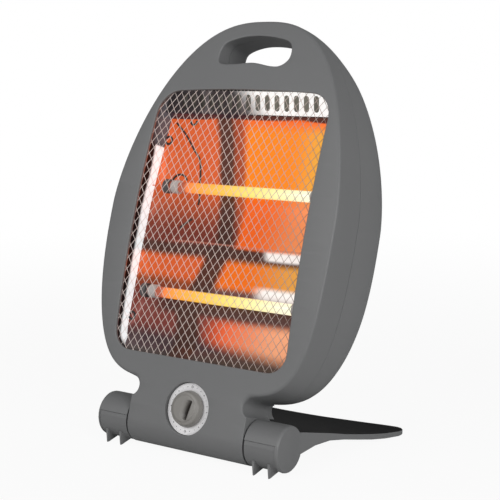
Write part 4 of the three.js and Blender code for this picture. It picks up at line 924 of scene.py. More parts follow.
class HEATER_OT_front_shell(bpy.types.Operator):
    """Mould the face with its window, handle opening, dial well, neck and barrel"""

    bl_idname = "heater.front_shell"
    bl_label = "Front shell"

    def execute(self, context):
        settings = context.scene.heater_shell
        half = front_outline(settings.outline_step)
        outline = half + [p._replace(x=-p.x) for p in reversed(half[:-1])]
        spots = [Vector((p.x, p.height)) for p in outline]
        normals = list(outward(spots, closed=False))

        def beside(offsets):
            """Places beside the outline, from a distance outwards and a depth for each point."""
            return [
                (s.x + n.x * out, s.y + n.y * out, depth)
                for s, n, (out, depth) in zip(spots, normals, offsets)]

        def dial_floor(z):
            front = face_depth(z) if z >= 0 else BARREL_RADIUS * math.cos(z / BARREL_RADIUS)
            return DIAL_FACE + 2.0 + front

        bm = bmesh.new()
        rim = drawn_row(bm, beside((-p.radius, 0) for p in outline), False)
        back = neck_back_edge()
        left = drawn_row(bm, [(-x, z, 0) for x, z in back], False)
        right = drawn_row(bm, [(x, z, 0) for x, z in reversed(back)], False)
        for a, b in ((rim[-1], left[0]), (left[-1], right[0]), (right[-1], rim[0])):
            bm.edges.new((a, b))
        dial = list(unrolled(circle_loop(0, DIAL_HEIGHT, DIAL_WELL_RADIUS, 96)))
        holes = [
            rounded_hole(bm, window_loop(), 0.9, lambda z: settings.wall),
            rounded_hole(bm, handle_loop(), 1.3, lambda z: face_depth(z) + PARTING - 0.1),
            rounded_hole(bm, dial, 0.4, dial_floor),
        ]
        bmesh.ops.triangle_fill(bm, edges=bm.edges[:], use_beauty=True, normal=(0, 0, 1))
        row = rim
        for turn in ROUNDING[1:]:
            sinks = [p.radius * (1 - math.sin(turn)) for p in outline]
            row = extruded_row(bm, row, False, beside(
                (p.draft * sink - p.radius * (1 - math.cos(turn)), sink)
                for p, sink in zip(outline, sinks)))
        for share in (0.5, 1.0):
            depths = [mix(p.radius, flank_depth(p.height, p.back), share) for p in outline]
            row = extruded_row(bm, row, False, beside(
                (p.draft * depth, depth) for p, depth in zip(outline, depths)))
        for hole in holes:
            last = roll_hole(bm, *hole)
        bmesh.ops.contextual_create(bm, geom=row_edges(bm, last, True))
        step = settings.face_step
        top = EGG_WIDEST + EGG_UPPER[0]
        below = [-k * 1.4 for k in range(1, 90)]
        sheared_levels(bm, [k * step for k in range(1, int(top / step) + 1)] + [0, *below], 1)
        for vertex in bm.verts:
            vertex.co = on_face(*vertex.co)
        face_forward(bm)
        head_piece(
            bm, "front_moulding", finish_of("grey_plastic"), ["front_shell"], 28.0)
        return {"FINISHED"}


def rear_rings(inset, front):
    """Rings of the rear shell's form from its front edge to the middle of its back."""
    loop = egg_loop(REAR_STEP)
    normals = list(outward(loop))
    radius = REAR_ROUNDING - inset

    def ring(offset, depth):
        return [
            Vector((p.x + n.x * offset(p.y), depth(p.y), p.y + n.y * offset(p.y)))
            for p, n in zip(loop, normals)]

    def flank(z, depth):
        return front_draft(z) * (PARTING + face_depth(z)) + rear_flare(z) * (depth - PARTING) - inset

    def start(z):
        return back_depth(z) - inset - radius

    def halfway(z):
        return mix(front, start(z), 0.5)

    rings = [ring(lambda z: flank(z, front), lambda z: front)]
    rings.append(ring(lambda z: flank(z, halfway(z)), halfway))
    for step in range(13):
        turn = math.radians(step * 7.5)
        rings.append(ring(
            lambda z: flank(z, start(z)) - radius * (1 - math.cos(turn)),
            lambda z: start(z) + radius * math.sin(turn)))
    edge = rings[-1]
    for share in (0.94, 0.88, *(k * 0.08 for k in range(10, -1, -1))):
        flat = [(p.x * share, mix(FACE_CENTRE, p.z, share)) for p in edge]
        rings.append([Vector((x, back_depth(z) - inset, z)) for x, z in flat])
    return rings


def slot_loop(x, z, half_length, half_width, upright=False):
    """A slot's outline with round ends."""
    points = []
    for centre, start in ((half_length - half_width, -90), (half_width - half_length, 90)):
        for a, b in arc(centre, 0, half_width, start, 180, 8):
            points.append(Vector((x - b, z + a)) if upright else Vector((x + a, z + b)))
    return points


SHELL_SCREWS = [(s * x, z) for x, z in ((116, 150), (63, 362), (80, 52.5)) for s in (-1, 1)]
SCREW_BOSS_RADIUS, SCREW_WELL_RADIUS, SCREW_SEAT = 5.4, 3.6, 9.9
VENTS = {"x": 38, "middle": 268, "pitch": 13, "rows": 7, "half_length": 30, "half_width": 2.5}
GLAND_HOLE = (-66, 82, 6.8)
VENT_FRONT, GLAND_FRONT = 31.5, 20
PAST_BACK = 90
TONGUE_BACK, TONGUE_CORNER = 30.3, 1.2


def neck_tongue():
    """Rings of the tongue that closes the neck behind, from its foot upwards."""
    centre, middle, radius = NECK_FILLET
    for height, narrow in (
            (22.0, 1.2), (22.6, 0.3), (23.2, 0.0), *((z, 0.0) for z in range(25, 41)), (48, 0)):
        rise = min(abs(height - middle), 0.85 * radius)
        half = min(centre - math.sqrt(radius ** 2 - rise ** 2), HALF_CENTRE) - narrow
        x = half - TONGUE_CORNER
        back = TONGUE_BACK - narrow - TONGUE_CORNER
        front = NECK_BACK + PARTING_GAP + narrow + TONGUE_CORNER
        corners = ((x, back, 0), (-x, back, 90), (-x, front, 180), (x, front, 270))
        yield [
            (*spot, height) for *corner, start in corners
            for spot in arc(*corner, TONGUE_CORNER, start, 90, 3)]


def parting_tongue():
    """Rings of the lip that keeps light in behind the parting line."""
    loop = egg_loop(3.0)
    normals = list(outward(loop))
    outer, inner, front, back = 0.6, 1.6, 2.0, 6.9
    for inset, depth in ((outer, front), (outer, back), (inner, back), (inner, front), (outer, front)):
        grow = [front_draft(p.y) * (depth + face_depth(p.y)) - inset for p in loop]
        yield [(p.x + n.x * g, depth, p.y + n.y * g) for p, n, g in zip(loop, normals, grow)]


class HEATER_OT_rear_shell(bpy.types.Operator):
    """Mould the domed back with its vents, handle liner, screw wells and neck tongue"""

    bl_idname = "heater.rear_shell"
    bl_label = "Rear shell"

    def execute(self, context):
        wall = context.scene.heater_shell.wall
        outer, inner, keep, cuts = (bmesh.new() for _ in range(4))
        lofted(outer, rear_rings(0.0, PARTING + PARTING_GAP))
        lofted(inner, rear_rings(wall, PARTING - 0.7))
        column(keep, grown(handle_loop(2.4), wall), PARTING - 2, PAST_BACK)
        column(cuts, handle_loop(1.8), PARTING - 4, PAST_BACK)
        for row in range(VENTS["rows"]):
            height = VENTS["middle"] + (row - (VENTS["rows"] - 1) / 2) * VENTS["pitch"]
            for _, side in SIDES:
                slot = slot_loop(side * VENTS["x"], height, VENTS["half_length"], VENTS["half_width"])
                column(cuts, slot, VENT_FRONT, PAST_BACK)
        column(cuts, circle_loop(*GLAND_HOLE, 32), GLAND_FRONT, PAST_BACK)
        for x, z in SHELL_SCREWS:
            column(keep, circle_loop(x, z, SCREW_BOSS_RADIUS, 24), PARTING - 2, PAST_BACK)
            column(cuts, circle_loop(x, z, SCREW_WELL_RADIUS, 24), SCREW_SEAT, PAST_BACK)
        hollow = cut_mesh(
            mesh_of(inner, "rear_hollow"), [("DIFFERENCE", mesh_of(keep, "keep"))], "rear_hollow")
        mesh = cut_mesh(mesh_of(outer, "rear_moulding"), [
            ("DIFFERENCE", hollow), ("DIFFERENCE", mesh_of(cuts, "cuts"))], "rear_work")
        grey = finish_of("grey_plastic")
        add_piece(
            "rear_moulding", mesh, HEAD, "head", grey, ["rear_shell"], 30.0)
        for name, rings, caps in (
                ("parting_tongue", parting_tongue(), False), ("neck_tongue", neck_tongue(), True)):
            bm = bmesh.new()
            lofted(bm, list(rings), caps)
            head_piece(bm, name, grey)
        return {"FINISHED"}


GUARD_DEPTH, GUARD_PAST_TRAY, GUARD_HALF_HEIGHT = 3.35, 1.5, 135


class HEATER_OT_guard(bpy.types.Operator):
    """Weave the expanded-metal guard and bow it behind the window"""

    bl_idname = "heater.guard"
    bl_label = "Guard"

    def execute(self, context):
        settings = context.scene.heater_guard
        wide, high = settings.cell_width / 2, settings.cell_height / 2
        count = 2 * math.ceil(max(108 / wide, 138 / high) / 2) + 20
        middle = (WINDOW["bottom"] + WINDOW["top"]) / 2
        bm = bmesh.new()
        bmesh.ops.create_grid(bm, x_segments=count, y_segments=count, size=count / 2)
        for vertex in bm.verts:
            a, b = vertex.co.x, vertex.co.y
            vertex.co = ((a - b) * wide, (a + b) * high + middle, 0)
        outside = [
            f for f in bm.faces
            for spot in [f.calc_center_median()]
            if abs(spot.x) > tray_half_width(spot.y) + GUARD_PAST_TRAY
            or abs(spot.y - middle) > GUARD_HALF_HEIGHT]
        bmesh.ops.delete(bm, geom=outside, context="FACES")
        bmesh.ops.wireframe(
            bm, faces=bm.faces[:], thickness=settings.wire, offset=0.0, use_replace=True,
            use_boundary=True, use_even_offset=False)
        for vertex in bm.verts:
            x, z, y = vertex.co
            vertex.co = (x, y + GUARD_DEPTH - face_depth(z), z)
        bmesh.ops.recalc_face_normals(bm, faces=bm.faces[:])
        head_piece(
            bm, "guard_expanded_metal", finish_of("guard_wire"), ["guard_mesh"], 50.0)
        dressed("guard_frame", "head", finish_of("plain_steel"))
        return {"FINISHED"}


TRAY_MARGIN, TRAY_FRONT = 2.0, 5.55


def tray_half_width(height):
    """The tray narrows round the window's corners."""
    half = WINDOW["half"] + TRAY_MARGIN
    for sign, edge, corner in ((1, "top", "high"), (-1, "bottom", "low")):
        radius = WINDOW[corner] + TRAY_MARGIN
        past = sign * (height - WINDOW[edge]) + WINDOW[corner]
        if past > 0:
            return half - radius + math.sqrt(max(radius ** 2 - past ** 2, 0.0))
    return half


def behind_guard(height):
    """The depth at which the tray meets the guard's frame."""
    return TRAY_FRONT - face_depth(height)


FLANGE_TOP, FLANGE_FOOT = 328.2, 307.0
SHEET_TOP, FOLD, SHEET_FOOT, TRAY_FOOT = 303.6, 178.0, 76.0, 62.5
SHEET_BACK, TROUGH_DEPTH, LEDGE_DEPTH = 9.5, 12.5, 2.0
FLANGE_FOOT_DEPTH = -4.9
DISH = 8.5
FLANGE_SLOTS = {
    "each_side": 7, "pitch": 11.0, "offset": 0.6, "share": 0.51, "half_length": 7.8, "half_width": 2.95,
}
SHEET_ENDS = [
    (SHEET_TOP, 7.5), (274, 4.0), (242, 0.5), (215, -1.8), (190, -2.6), (166, -3.6), (98, -4.0),
    (SHEET_FOOT, -2.8), (TRAY_FOOT, -17.0),
]


def sheet_depth(height):
    """How far back the reflector's sheet stands in its middle."""
    if height > SHEET_TOP:
        share = (height - SHEET_TOP) / (FLANGE_FOOT - SHEET_TOP)
        return mix(SHEET_BACK - LEDGE_DEPTH, FLANGE_FOOT_DEPTH, share)
    if height > FOLD:
        t = 2 * (height - FOLD) / (SHEET_TOP - FOLD) - 1
        return SHEET_BACK - (TROUGH_DEPTH if t < 0 else LEDGE_DEPTH) * t * t
    if height > SHEET_FOOT:
        t = 2 * (height - SHEET_FOOT) / (FOLD - SHEET_FOOT) - 1
        return SHEET_BACK - TROUGH_DEPTH * t * t
    share = (SHEET_FOOT - height) / (SHEET_FOOT - TRAY_FOOT)
    return mix(SHEET_BACK - TROUGH_DEPTH, behind_guard(TRAY_FOOT), share)


def sheet_end_depth(height):
    """How far back the sheet's dished ends meet the cheeks."""
    if height > SHEET_TOP:
        return sheet_depth(height)
    for (above, first), (below, second) in zip(SHEET_ENDS, SHEET_ENDS[1:]):
        if height >= below:
            return mix(first, second, (above - height) / (above - below))
    return SHEET_ENDS[-1][1]


def cheek_depth(height):
    """How far back a cheek reaches."""
    if height <= FLANGE_FOOT:
        return sheet_end_depth(height)
    share = min((FLANGE_TOP - height) / (FLANGE_TOP - FLANGE_FOOT), 1)
    return mix(behind_guard(height), sheet_depth(FLANGE_FOOT), share)


def fold_troughs(heights):
    """The sheet with its two troughs, dished at both ends."""
    ends = [DISH * k / 8 for k in range(9)]
    stations = [(-1, e) for e in ends] + [(k / 10, DISH) for k in range(-9, 10)]
    stations += [(1, e) for e in reversed(ends)]

    def section(share, end):
        curl = (1 - end / DISH) ** 1.6
        return [
            (share * (tray_half_width(z) - end), mix(sheet_depth(z), sheet_end_depth(z), curl), z)
            for z in heights]

    bm = bmesh.new()
    row = drawn_row(bm, section(*stations[0]), False)
    for station in stations[1:]:
        row = extruded_row(bm, row, False, section(*station))
    bmesh.ops.remove_doubles(bm, verts=bm.verts[:], dist=1e-3)
    face_forward(bm)
    trays = head_piece(
        bm, "reflector_troughs", [finish_of("reflector_sheet"), finish_of("plain_steel")],
        ["reflector"], 40.0)
    sheet = thicken(trays, 0.0008)
    sheet.material_offset = 1
    sheet.material_offset_rim = 1


def punch_flange(foot, along, behind, length):
    """The slotted flange, drawn flat, x across and y up its slope, and then stood on the ledge."""
    reaches = [length * k / 24 for k in range(25)]
    edge = [(tray_half_width(foot.y + along.y * reach), reach) for reach in reaches]
    bm = bmesh.new()
    drawn_row(bm, [(x, z, 0) for x, z in edge] + [(-x, z, 0) for x, z in reversed(edge)], True)
    slots, rims = FLANGE_SLOTS, []
    for k in range(-slots["each_side"], slots["each_side"] + 1):
        loop = slot_loop(
            k * slots["pitch"] + slots["offset"], length * slots["share"], slots["half_length"],
            slots["half_width"], upright=True)
        rims.append(drawn_row(bm, [(p.x, p.y, 0) for p in loop], True))
    bmesh.ops.triangle_fill(bm, edges=bm.edges[:], use_beauty=True, normal=(0, 0, 1))
    for rim in rims:
        extruded_row(bm, rim, True, [v.co + Vector((0, 0, 0.4)) for v in rim])
    for vertex in bm.verts:
        x, reach, depth = vertex.co
        spot = foot + along * reach + behind * depth
        vertex.co = (x, spot.x, spot.y)
    face_forward(bm)
    head_piece(bm, "reflector_flange", finish_of("flange"))


def hang_screen(foot, along, behind, length):
    """A dark screen that closes the view through the flange's slots."""
    bm = bmesh.new()
    across = [88 * k / 12 for k in range(-12, 13)]
    lower, upper = (foot + along * length * share + behind * 3.0 for share in (0.02, 0.98))
    row = drawn_row(bm, [(x, lower.x, lower.y) for x in across], False)
    row = extruded_row(bm, row, False, [(x, upper.x, upper.y) for x in across])
    extruded_row(bm, row, False, [(x, upper.x + 2.0, upper.y + 0.4) for x in across])
    face_forward(bm)
    thicken(head_piece(bm, "flange_screen", finish_of("screen")), 0.0006)


def fold_cheek(name, side, levels):
    """One side of the tray, from the sheet's end forward to the guard's frame."""
    backs = [Vector((side * tray_half_width(z), cheek_depth(z), z)) for z in levels]
    fronts = [Vector((b.x, behind_guard(z), z)) for b, z in zip(backs, levels)]
    bm = bmesh.new()
    row = drawn_row(bm, backs, False)
    for share in (0.25, 0.5, 0.75, 1.0):
        row = extruded_row(bm, row, False, [b.lerp(f, share) for b, f in zip(backs, fronts)])
    bmesh.ops.remove_doubles(bm, verts=bm.verts[:], dist=1e-3)
    bmesh.ops.recalc_face_normals(bm, faces=bm.faces[:])
    for face in bm.faces:
        if face.normal.x * side > 0:
            face.normal_flip()
    head_piece(bm, f"reflector_cheek_{name}", finish_of("cheek"))


class HEATER_OT_reflector(bpy.types.Operator):
    """Fold the reflector tray: two troughs with dished ends, the slotted flange and the cheeks"""

    bl_idname = "heater.reflector"
    bl_label = "Reflector"

    def execute(self, context):
        heights = [
            FLANGE_FOOT, 306.2, 305.4, 304.6, SHEET_TOP,
            *(mix(SHEET_TOP, FOLD, k / 30) for k in range(1, 31)),
            *(mix(FOLD, SHEET_FOOT, k / 26) for k in range(1, 27)),
            *(mix(SHEET_FOOT, TRAY_FOOT, k / 5) for k in range(1, 6)),
        ]
        fold_troughs(heights)
        foot = Vector((sheet_depth(FLANGE_FOOT), FLANGE_FOOT))
        slope = Vector((behind_guard(FLANGE_TOP), FLANGE_TOP)) - foot
        along = slope.normalized()
        behind = Vector((along.y, -along.x))
        punch_flange(foot, along, behind, slope.length)
        hang_screen(foot, along, behind, slope.length)
        levels = [*(FLANGE_TOP - k * 1.32 for k in range(16)), *heights]
        for name, side in SIDES:
            fold_cheek(name, side, levels)
        return {"FINISHED"}


# Each end's radius and distance from the middle. Index 5 starts the groove, index 11 the collar.
CAPS = {
    "left": [
        (5.6, 72.0), (6.3, 72.0), (6.7, 72.5), (6.7, 80.4), (6.2, 81.0), (5.3, 81.2), (5.3, 84.2),
        (7.0, 84.4), (7.2, 84.9), (7.2, 90.2), (6.6, 90.8), (0.6, 91.0), (0.6, 103.2), (3.0, 103.4),
        (3.0, 109.5), (2.4, 110), (0, 110),
    ],
    "right": [
        (5.6, 88.0), (6.3, 88.0), (6.7, 88.5), (6.7, 96.4), (6.2, 97.0), (5.3, 97.2), (5.3, 99.0),
        (7.0, 99.2), (7.2, 99.7), (7.2, 104.2), (6.6, 104.8), (3.0, 105), (3.0, 106), (3.0, 107),
        (3.0, 109.5), (2.4, 110), (0, 110),
    ],
}
GROOVE, COLLAR = 5, 11
CAP_SHIFTS = {"upper": 6.0, "lower": 1.0}
TUBE_PROFILE = [
    (0, -86), (3.4, -86), (4.6, -84.6), (5.3, -82), (5.3, 86), (4.6, 88.6), (3.4, 90), (0, 90),
]
LEADS = (
    (1.0, [
        (-92, 4.5, 298), (-78, 5.5, 286), (-66, 6.2, 272), (-57, 6.6, 262), (-53, 6.6, 248),
        (-51, 6.0, 236), (-48, 5.4, 222), (-48, 5.0, 216),
    ]),
    (1.05, [(-50, 2.0, 201), (-54, 1.2, 198), (-58, 0.0, 194), (-61, -1.0, 191)]),
)
CLIP_RADIUS = 1.1
CLIPS = (
    (-71, 300.5, 3.6, 170, 200, 4.8), (-95.5, 279, 3.9, 150, -300, 1.0),
    (-97.5, 98, 3.6, 150, -300, -5.5), (-76, 236, 9.5, 165, -140, 5.2),
)


def wire_along(bm, points, radius, steps=8):
    """A round wire along a smooth line through a few points."""
    spots = [Vector(p) for p in points]
    spots = [spots[0] * 2 - spots[1], *spots, spots[-1] * 2 - spots[-2]]
    fours = zip(spots, spots[1:], spots[2:], spots[3:])
    line = [spot for four in fours for spot in smooth_span(*four, 5)]
    line.append(spots[-2])
    rings = []
    for index, spot in enumerate(line):
        along = (line[min(index + 1, len(line) - 1)] - line[max(index - 1, 0)]).normalized()
        across = along.cross(Vector((0, 1, 0))).normalized()
        over = along.cross(across)
        turns = (FULL_TURN * k / steps for k in range(steps))
        rings.append([spot + (across * math.cos(a) + over * math.sin(a)) * radius for a in turns])
    lofted(bm, rings)


def end_cap(level, name, side):
    """A ceramic end, its dark holder and its bright collar, one behind another. The collar takes the
    sheet's finish, with its painted reflections and glow.
    """
    shift = CAP_SHIFTS[level] if name == "left" else 0.0
    profile = [(r, d - shift if d < 95 else d) for r, d in CAPS[name]]
    profile += [(0, profile[0][1] + 4), (5.4, profile[0][1] + 4)]
    bm = bmesh.new()
    turned(
        bm, profile + profile[:1], (0, TUBE_DEPTH, TUBE_HEIGHTS[level]), (side, 0, 0), 48)
    groove, collar = profile[GROOVE][1], profile[COLLAR][1]
    for face in bm.faces:
        reach = abs(face.calc_center_median().x)
        face.material_index = 0 if reach < groove else 1 if reach < collar else 2
    head_piece(
        bm, f"ceramic_end_{level}_{name}",
        [finish_of("ceramic"), finish_of("holder"), finish_of("reflector_sheet")],
        [f"tube_cap_{level}_{name}"])


class HEATER_OT_tubes(bpy.types.Operator):
    """Make the two lit quartz tubes, their ceramic ends, the lead wire and the clips"""

    bl_idname = "heater.tubes"
    bl_label = "Tubes"

    def execute(self, context):
        for level, height in TUBE_HEIGHTS.items():
            bm = bmesh.new()
            turned(bm, TUBE_PROFILE, (0, TUBE_DEPTH, height), (1, 0, 0), 48)
            sheared_levels(bm, range(-80, 81, 8), 0)
            head_piece(
                bm, f"tube_{level}", finish_of("quartz_glass"),
                [f"halogen_tube_{level}"])
            for name, side in SIDES:
                end_cap(level, name, side)
        bm = bmesh.new()
        for radius, points in LEADS:
            wire_along(bm, points, radius)
        for *bend, depth in CLIPS:
            wire_along(bm, [(x, depth, z) for x, z in arc(*bend, 8)], CLIP_RADIUS)
        head_piece(bm, "lead_and_clips", finish_of("dark_plastic"))
        return {"FINISHED"}


DIAL_PROFILE = [
    (4.0, -16.6), (24.3, -16.6), (24.6, -16.9), (24.6, -18.0), (24.3, DIAL_FACE), (23.7, DIAL_FACE),
    (23.4, -18.15), (17.9, -18.15), (17.6, -18.05), (4.0, -18.05), (4.0, -16.6),
]
MARK_BACK, MARK_FRONT = -18.1, -18.22
MARK_SIZES = (0.55, 0.3, 0.42)
RING_OUTER, RING_INNER = 1.15, 0.75


class HEATER_OT_dial(bpy.types.Operator):
    """Turn the dial ring and print its plain dots and rings"""

    bl_idname = "heater.dial"
    bl_label = "Dial"

    def execute(self, context):
        settings = context.scene.heater_dial
        bm = bmesh.new()
        turned(bm, DIAL_PROFILE, (0, 0, DIAL_HEIGHT), (0, 1, 0), 96)
        head_piece(bm, "dial_face", finish_of("dial_print"), ["dial_ring"], 24.0)
        ring = (
            (RING_OUTER, MARK_BACK), (RING_OUTER, MARK_FRONT), (RING_INNER, MARK_FRONT),
            (RING_INNER, MARK_BACK))
        bm = bmesh.new()
        for k in range(settings.marks):
            turn = FULL_TURN * k / settings.marks
            x = settings.mark_radius * math.sin(turn)
            z = DIAL_HEIGHT + settings.mark_radius * math.cos(turn)
            if k % 12:
                size = MARK_SIZES[k % 3]
                column(bm, circle_loop(x, z, size, 12), MARK_FRONT, MARK_BACK)
            else:
                lofted(bm, [
                    [(p.x, y, p.y) for p in circle_loop(x, z, r, 20)] for r, y in ring], caps=False)
        head_piece(bm, "dial_marks", finish_of("dial_marks"))
        return {"FINISHED"}


KNOB_BASE, KNOB_TOP = -18.6, -26.8
HOLLOW = {"offset": 3.4, "half_length": 9.6, "half_width": 6.0, "depth": 6.2, "lip": 0.7}


class HEATER_OT_knob(bpy.types.Operator):
    """Turn the control knob and sink its finger hollow"""

    bl_idname = "heater.knob"
    bl_label = "Knob"

    def execute(self, context):
        turn = context.scene.heater_dial.grip_turn
        base, top = KNOB_BASE, KNOB_TOP
        profile = [
            (0, base), (16.8, base), (17.3, base - 0.5), (17.2, base - 1.4), (15.9, top + 2.6),
            (15.6, top + 1.9), (15.1, top + 1.4), (14.4, top + 1.15), (13.3, top + 1.05),
            (12.9, top + 0.9), (12.6, top + 0.5), (12.3, top + 0.15), (11.9, top),
        ]
        profile += [(r * 0.35, top) for r in range(33, -1, -1)]
        bm = bmesh.new()
        turned(bm, profile, (0, 0, DIAL_HEIGHT), (0, 1, 0), 144)
        for vertex in bm.verts:
            x, z = vertex.co.x, vertex.co.z - DIAL_HEIGHT
            if vertex.co.y > top + 0.01:
                continue
            across = x * math.cos(turn) - z * math.sin(turn) - HOLLOW["offset"]
            along = x * math.sin(turn) + z * math.cos(turn)
            reach = 1 - abs(along / HOLLOW["half_length"]) ** 3
            if reach <= 0:
                continue
            side = across / HOLLOW["half_width"]
            start = -1.15 * reach ** 0.5
            fall = smooth_step(side, start, 0.36) ** 1.3 * (1 - smooth_step(side, 0.36, 0.6))
            lip = smooth_step(side, 0.5, 0.75) * (1 - smooth_step(side, 0.85, 1.3))
            vertex.co.y += (HOLLOW["depth"] * fall - HOLLOW["lip"] * lip) * reach ** 0.5
        mesh = mesh_of(bm, "knob_moulding")
        knob = finish_of("knob_plastic")
        add_piece("knob_moulding", mesh, HEAD, "knob", knob, ["control_knob"], 60.0)
        return {"FINISHED"}


# The front ribs' tips, in metres from the hinge: those vertices draw together across the rib.
TIP_FRONT, TIP_FOOT, TIP_WIDTH, TIP_SHARE = 0.013, 0.019, 0.005, 0.2


class HEATER_OT_foot(bpy.types.Operator):
    """Finish the swept foot, its knuckles, covers, pins and pads"""

    bl_idname = "heater.foot"
    bl_label = "Foot"

    def execute(self, context):
        edge = context.scene.heater_shell.edge * 0.001
        grey, steel = finish_of("grey_plastic"), finish_of("plain_steel")
        plate = dressed(
            "foot_plate", "foot", [grey, finish_of("foot_top_shade")], sharp=24.0)
        # Painted shade: the plate's upward faces behind the knuckles take the near-black finish.
        for face in plate.data.polygons:
            behind = face.center.y - HINGE.y > BARREL_RADIUS * 0.00095
            face.material_index = int(behind and face.normal.z > 0.7)
        for name, _ in SIDES:
            cover = dressed(f"knuckle_cover_{name}", "foot", grey)
            tips = [
                (v, v.co.x) for v in cover.data.vertices
                if v.co.y < HINGE.y - TIP_FRONT and v.co.z < HINGE.z - TIP_FOOT]
            for vertex, x in tips:
                near = [other for _, other in tips if abs(other - x) < TIP_WIDTH]
                middle = (min(near) + max(near)) / 2
                vertex.co.x = middle + (x - middle) * TIP_SHARE
            dressed(f"rubber_pad_{name}", "foot", finish_of("rubber"), 2 * edge)
            dressed(f"hinge_pin_{name}", "foot", steel, edge)
            dressed(f"friction_washer_{name}", "foot", finish_of("brass"))
            dressed(f"cover_screw_{name}", "foot", steel)
        return {"FINISHED"}


class HEATER_OT_fittings(bpy.types.Operator):
    """Finish what is fastened inside the head and on its back"""

    bl_idname = "heater.fittings"
    bl_label = "Fittings"

    def execute(self, context):
        edge = context.scene.heater_shell.edge * 0.001
        steel, dark = finish_of("plain_steel"), finish_of("dark_plastic")
        dressed("heat_shield", "head", steel)
        for name, _ in SIDES:
            dressed(f"lamp_bracket_{name}", "head", steel)
        dressed("rotary_switch_body", "head", dark, edge)
        dressed("tip_switch_case", "head", dark, edge)
        dressed("tip_switch_pendulum", "tip_pendulum", steel)
        dressed("terminal_block", "head", finish_of("ceramic"), edge)
        dressed("thermal_cutout", "head", dark, edge)
        dressed("cord_gland", "head", finish_of("rubber"))
        dressed("switch_spindle", "knob", steel, edge)
        for number in range(1, 7):
            dressed(f"shell_screw_{number}", "head", steel)
        return {"FINISHED"}


CAMERA_PLACE, CAMERA_TARGET = (0.6774, -0.9696, 0.3747), (0.06165, -0.0737, 0.2025)
# Each lamp's place, its share of the key lamp's power and its size.
LAMPS = {
    "key": ((-0.5, -2.0, 1.3), 1.0, 1.6),
    "fill": ((2.1, -0.85, 0.9), 1.3, 1.4),
}


def faced(thing, place, target):
    """Sets a camera or a lamp in its place, looking at a target."""
    thing.location = place
    thing.rotation_mode = "QUATERNION"
    thing.rotation_quaternion = (Vector(target) - thing.location).to_track_quat("-Z", "Y")
    bpy.context.scene.collection.objects.link(thing)


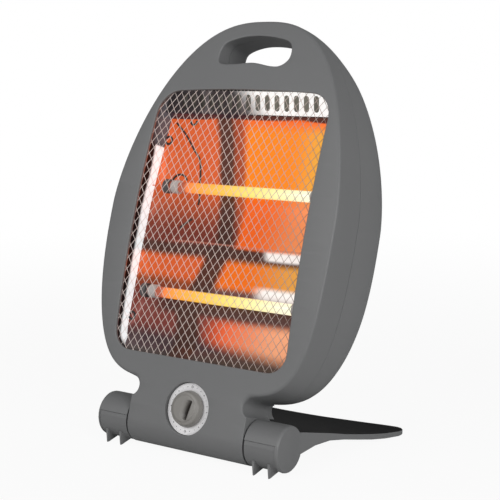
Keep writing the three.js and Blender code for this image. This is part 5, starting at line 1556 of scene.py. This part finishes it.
class HEATER_OT_stage(bpy.types.Operator):
    """Set the camera, the pale floor and the soft light"""

    bl_idname = "heater.stage"
    bl_label = "Stage"

    def execute(self, context):
        scene, settings = context.scene, context.scene.heater_stage
        camera = bpy.data.objects.new("camera", bpy.data.cameras.new("camera"))
        camera.data.lens = settings.lens
        camera.data.sensor_width = 36.0
        faced(camera, CAMERA_PLACE, CAMERA_TARGET)
        scene.camera = camera

        bm = bmesh.new()
        bmesh.ops.create_grid(bm, x_segments=1, y_segments=1, size=6.0)
        floor = bpy.data.objects.new("floor", mesh_of(bm, "floor"))
        scene.collection.objects.link(floor)
        paint = Finish("pale_floor", roughness=0.85)
        paint.feed("Base Color", paint.blend(paint.noise(3.0), (0.66, 0.66, 0.66), (0.68, 0.68, 0.68)))
        sight = paint.node("ShaderNodeLightPath", {}, {}, "Is Camera Ray")
        glow = paint.tree.nodes.new("ShaderNodeEmission")
        mixed = paint.tree.nodes.new("ShaderNodeMixShader")
        spot = paint.tree.nodes.new("ShaderNodeVectorMath")
        spot.operation = "LENGTH"
        paint.tree.links.new(paint.place.socket, spot.inputs[0])
        far = Value(paint, spot.outputs["Value"]).between(0.35, 1.6)
        paint.tree.links.new((sight * (far * 0.07 + 0.93)).socket, mixed.inputs[0])
        paint.tree.links.new(paint.shader.outputs[0], mixed.inputs[1])
        paint.tree.links.new(glow.outputs[0], mixed.inputs[2])
        paint.tree.links.new(mixed.outputs[0], paint.tree.nodes["Material Output"].inputs[0])
        floor.data.materials.append(paint.material)

        world = bpy.data.worlds.new("room")
        scene.world = world
        world.use_nodes = True
        tree = world.node_tree
        room = tree.nodes["Background"]
        room.inputs["Color"].default_value = (1, 1, 1, 1)
        room.inputs["Strength"].default_value = settings.ambient
        white = tree.nodes.new("ShaderNodeBackground")
        white.inputs["Strength"].default_value = 1.0
        white.inputs["Color"].default_value = (1, 1, 1, 1)
        path = tree.nodes.new("ShaderNodeLightPath")
        either = tree.nodes.new("ShaderNodeMixShader")
        tree.links.new(path.outputs["Is Camera Ray"], either.inputs[0])
        tree.links.new(room.outputs[0], either.inputs[1])
        tree.links.new(white.outputs[0], either.inputs[2])
        tree.links.new(either.outputs[0], tree.nodes["World Output"].inputs[0])

        for name, (place, share, size) in LAMPS.items():
            lamp = bpy.data.objects.new(name, bpy.data.lights.new(name, "AREA"))
            lamp.data.energy = settings.key * share
            lamp.data.size = size
            faced(lamp, place, (0, 0, 0.2))
        scene.view_settings.view_transform = "Standard"
        return {"FINISHED"}


# ------------------------------------------------------------------ add-on


class HEATER_PT_panel(bpy.types.Panel):
    """The heater's sizes, colours and pieces"""

    bl_idname = "HEATER_PT_panel"
    bl_label = "Halogen heater"
    bl_space_type = "VIEW_3D"
    bl_region_type = "UI"
    bl_category = "Heater"

    def draw(self, context):
        for group in GROUPS:
            box = self.layout.box()
            box.label(text=group[len("heater_"):].capitalize())
            settings = getattr(context.scene, group)
            for name in settings.__annotations__:
                box.prop(settings, name)
        for operator in OPERATORS:
            self.layout.operator(operator.bl_idname)


GROUPS = {
    "heater_finish": HeaterFinish,
    "heater_shell": HeaterShell,
    "heater_guard": HeaterGuard,
    "heater_dial": HeaterDial,
    "heater_stage": HeaterStage,
}
OPERATORS = (
    HEATER_OT_stage, HEATER_OT_front_shell, HEATER_OT_rear_shell, HEATER_OT_guard,
    HEATER_OT_reflector, HEATER_OT_tubes, HEATER_OT_dial, HEATER_OT_knob, HEATER_OT_foot,
    HEATER_OT_fittings,
)


def register():
    for made in (*GROUPS.values(), *OPERATORS, HEATER_PT_panel):
        bpy.utils.register_class(made)
    for name, group in GROUPS.items():
        setattr(bpy.types.Scene, name, PointerProperty(type=group))


def unregister():
    for name in GROUPS:
        delattr(bpy.types.Scene, name)
    for made in (HEATER_PT_panel, *reversed(OPERATORS), *reversed(list(GROUPS.values()))):
        bpy.utils.unregister_class(made)


def main():
    register()
    for operator in OPERATORS:
        group, name = operator.bl_idname.split(".")
        getattr(getattr(bpy.ops, group), name)()


if __name__ == "__main__":
    main()
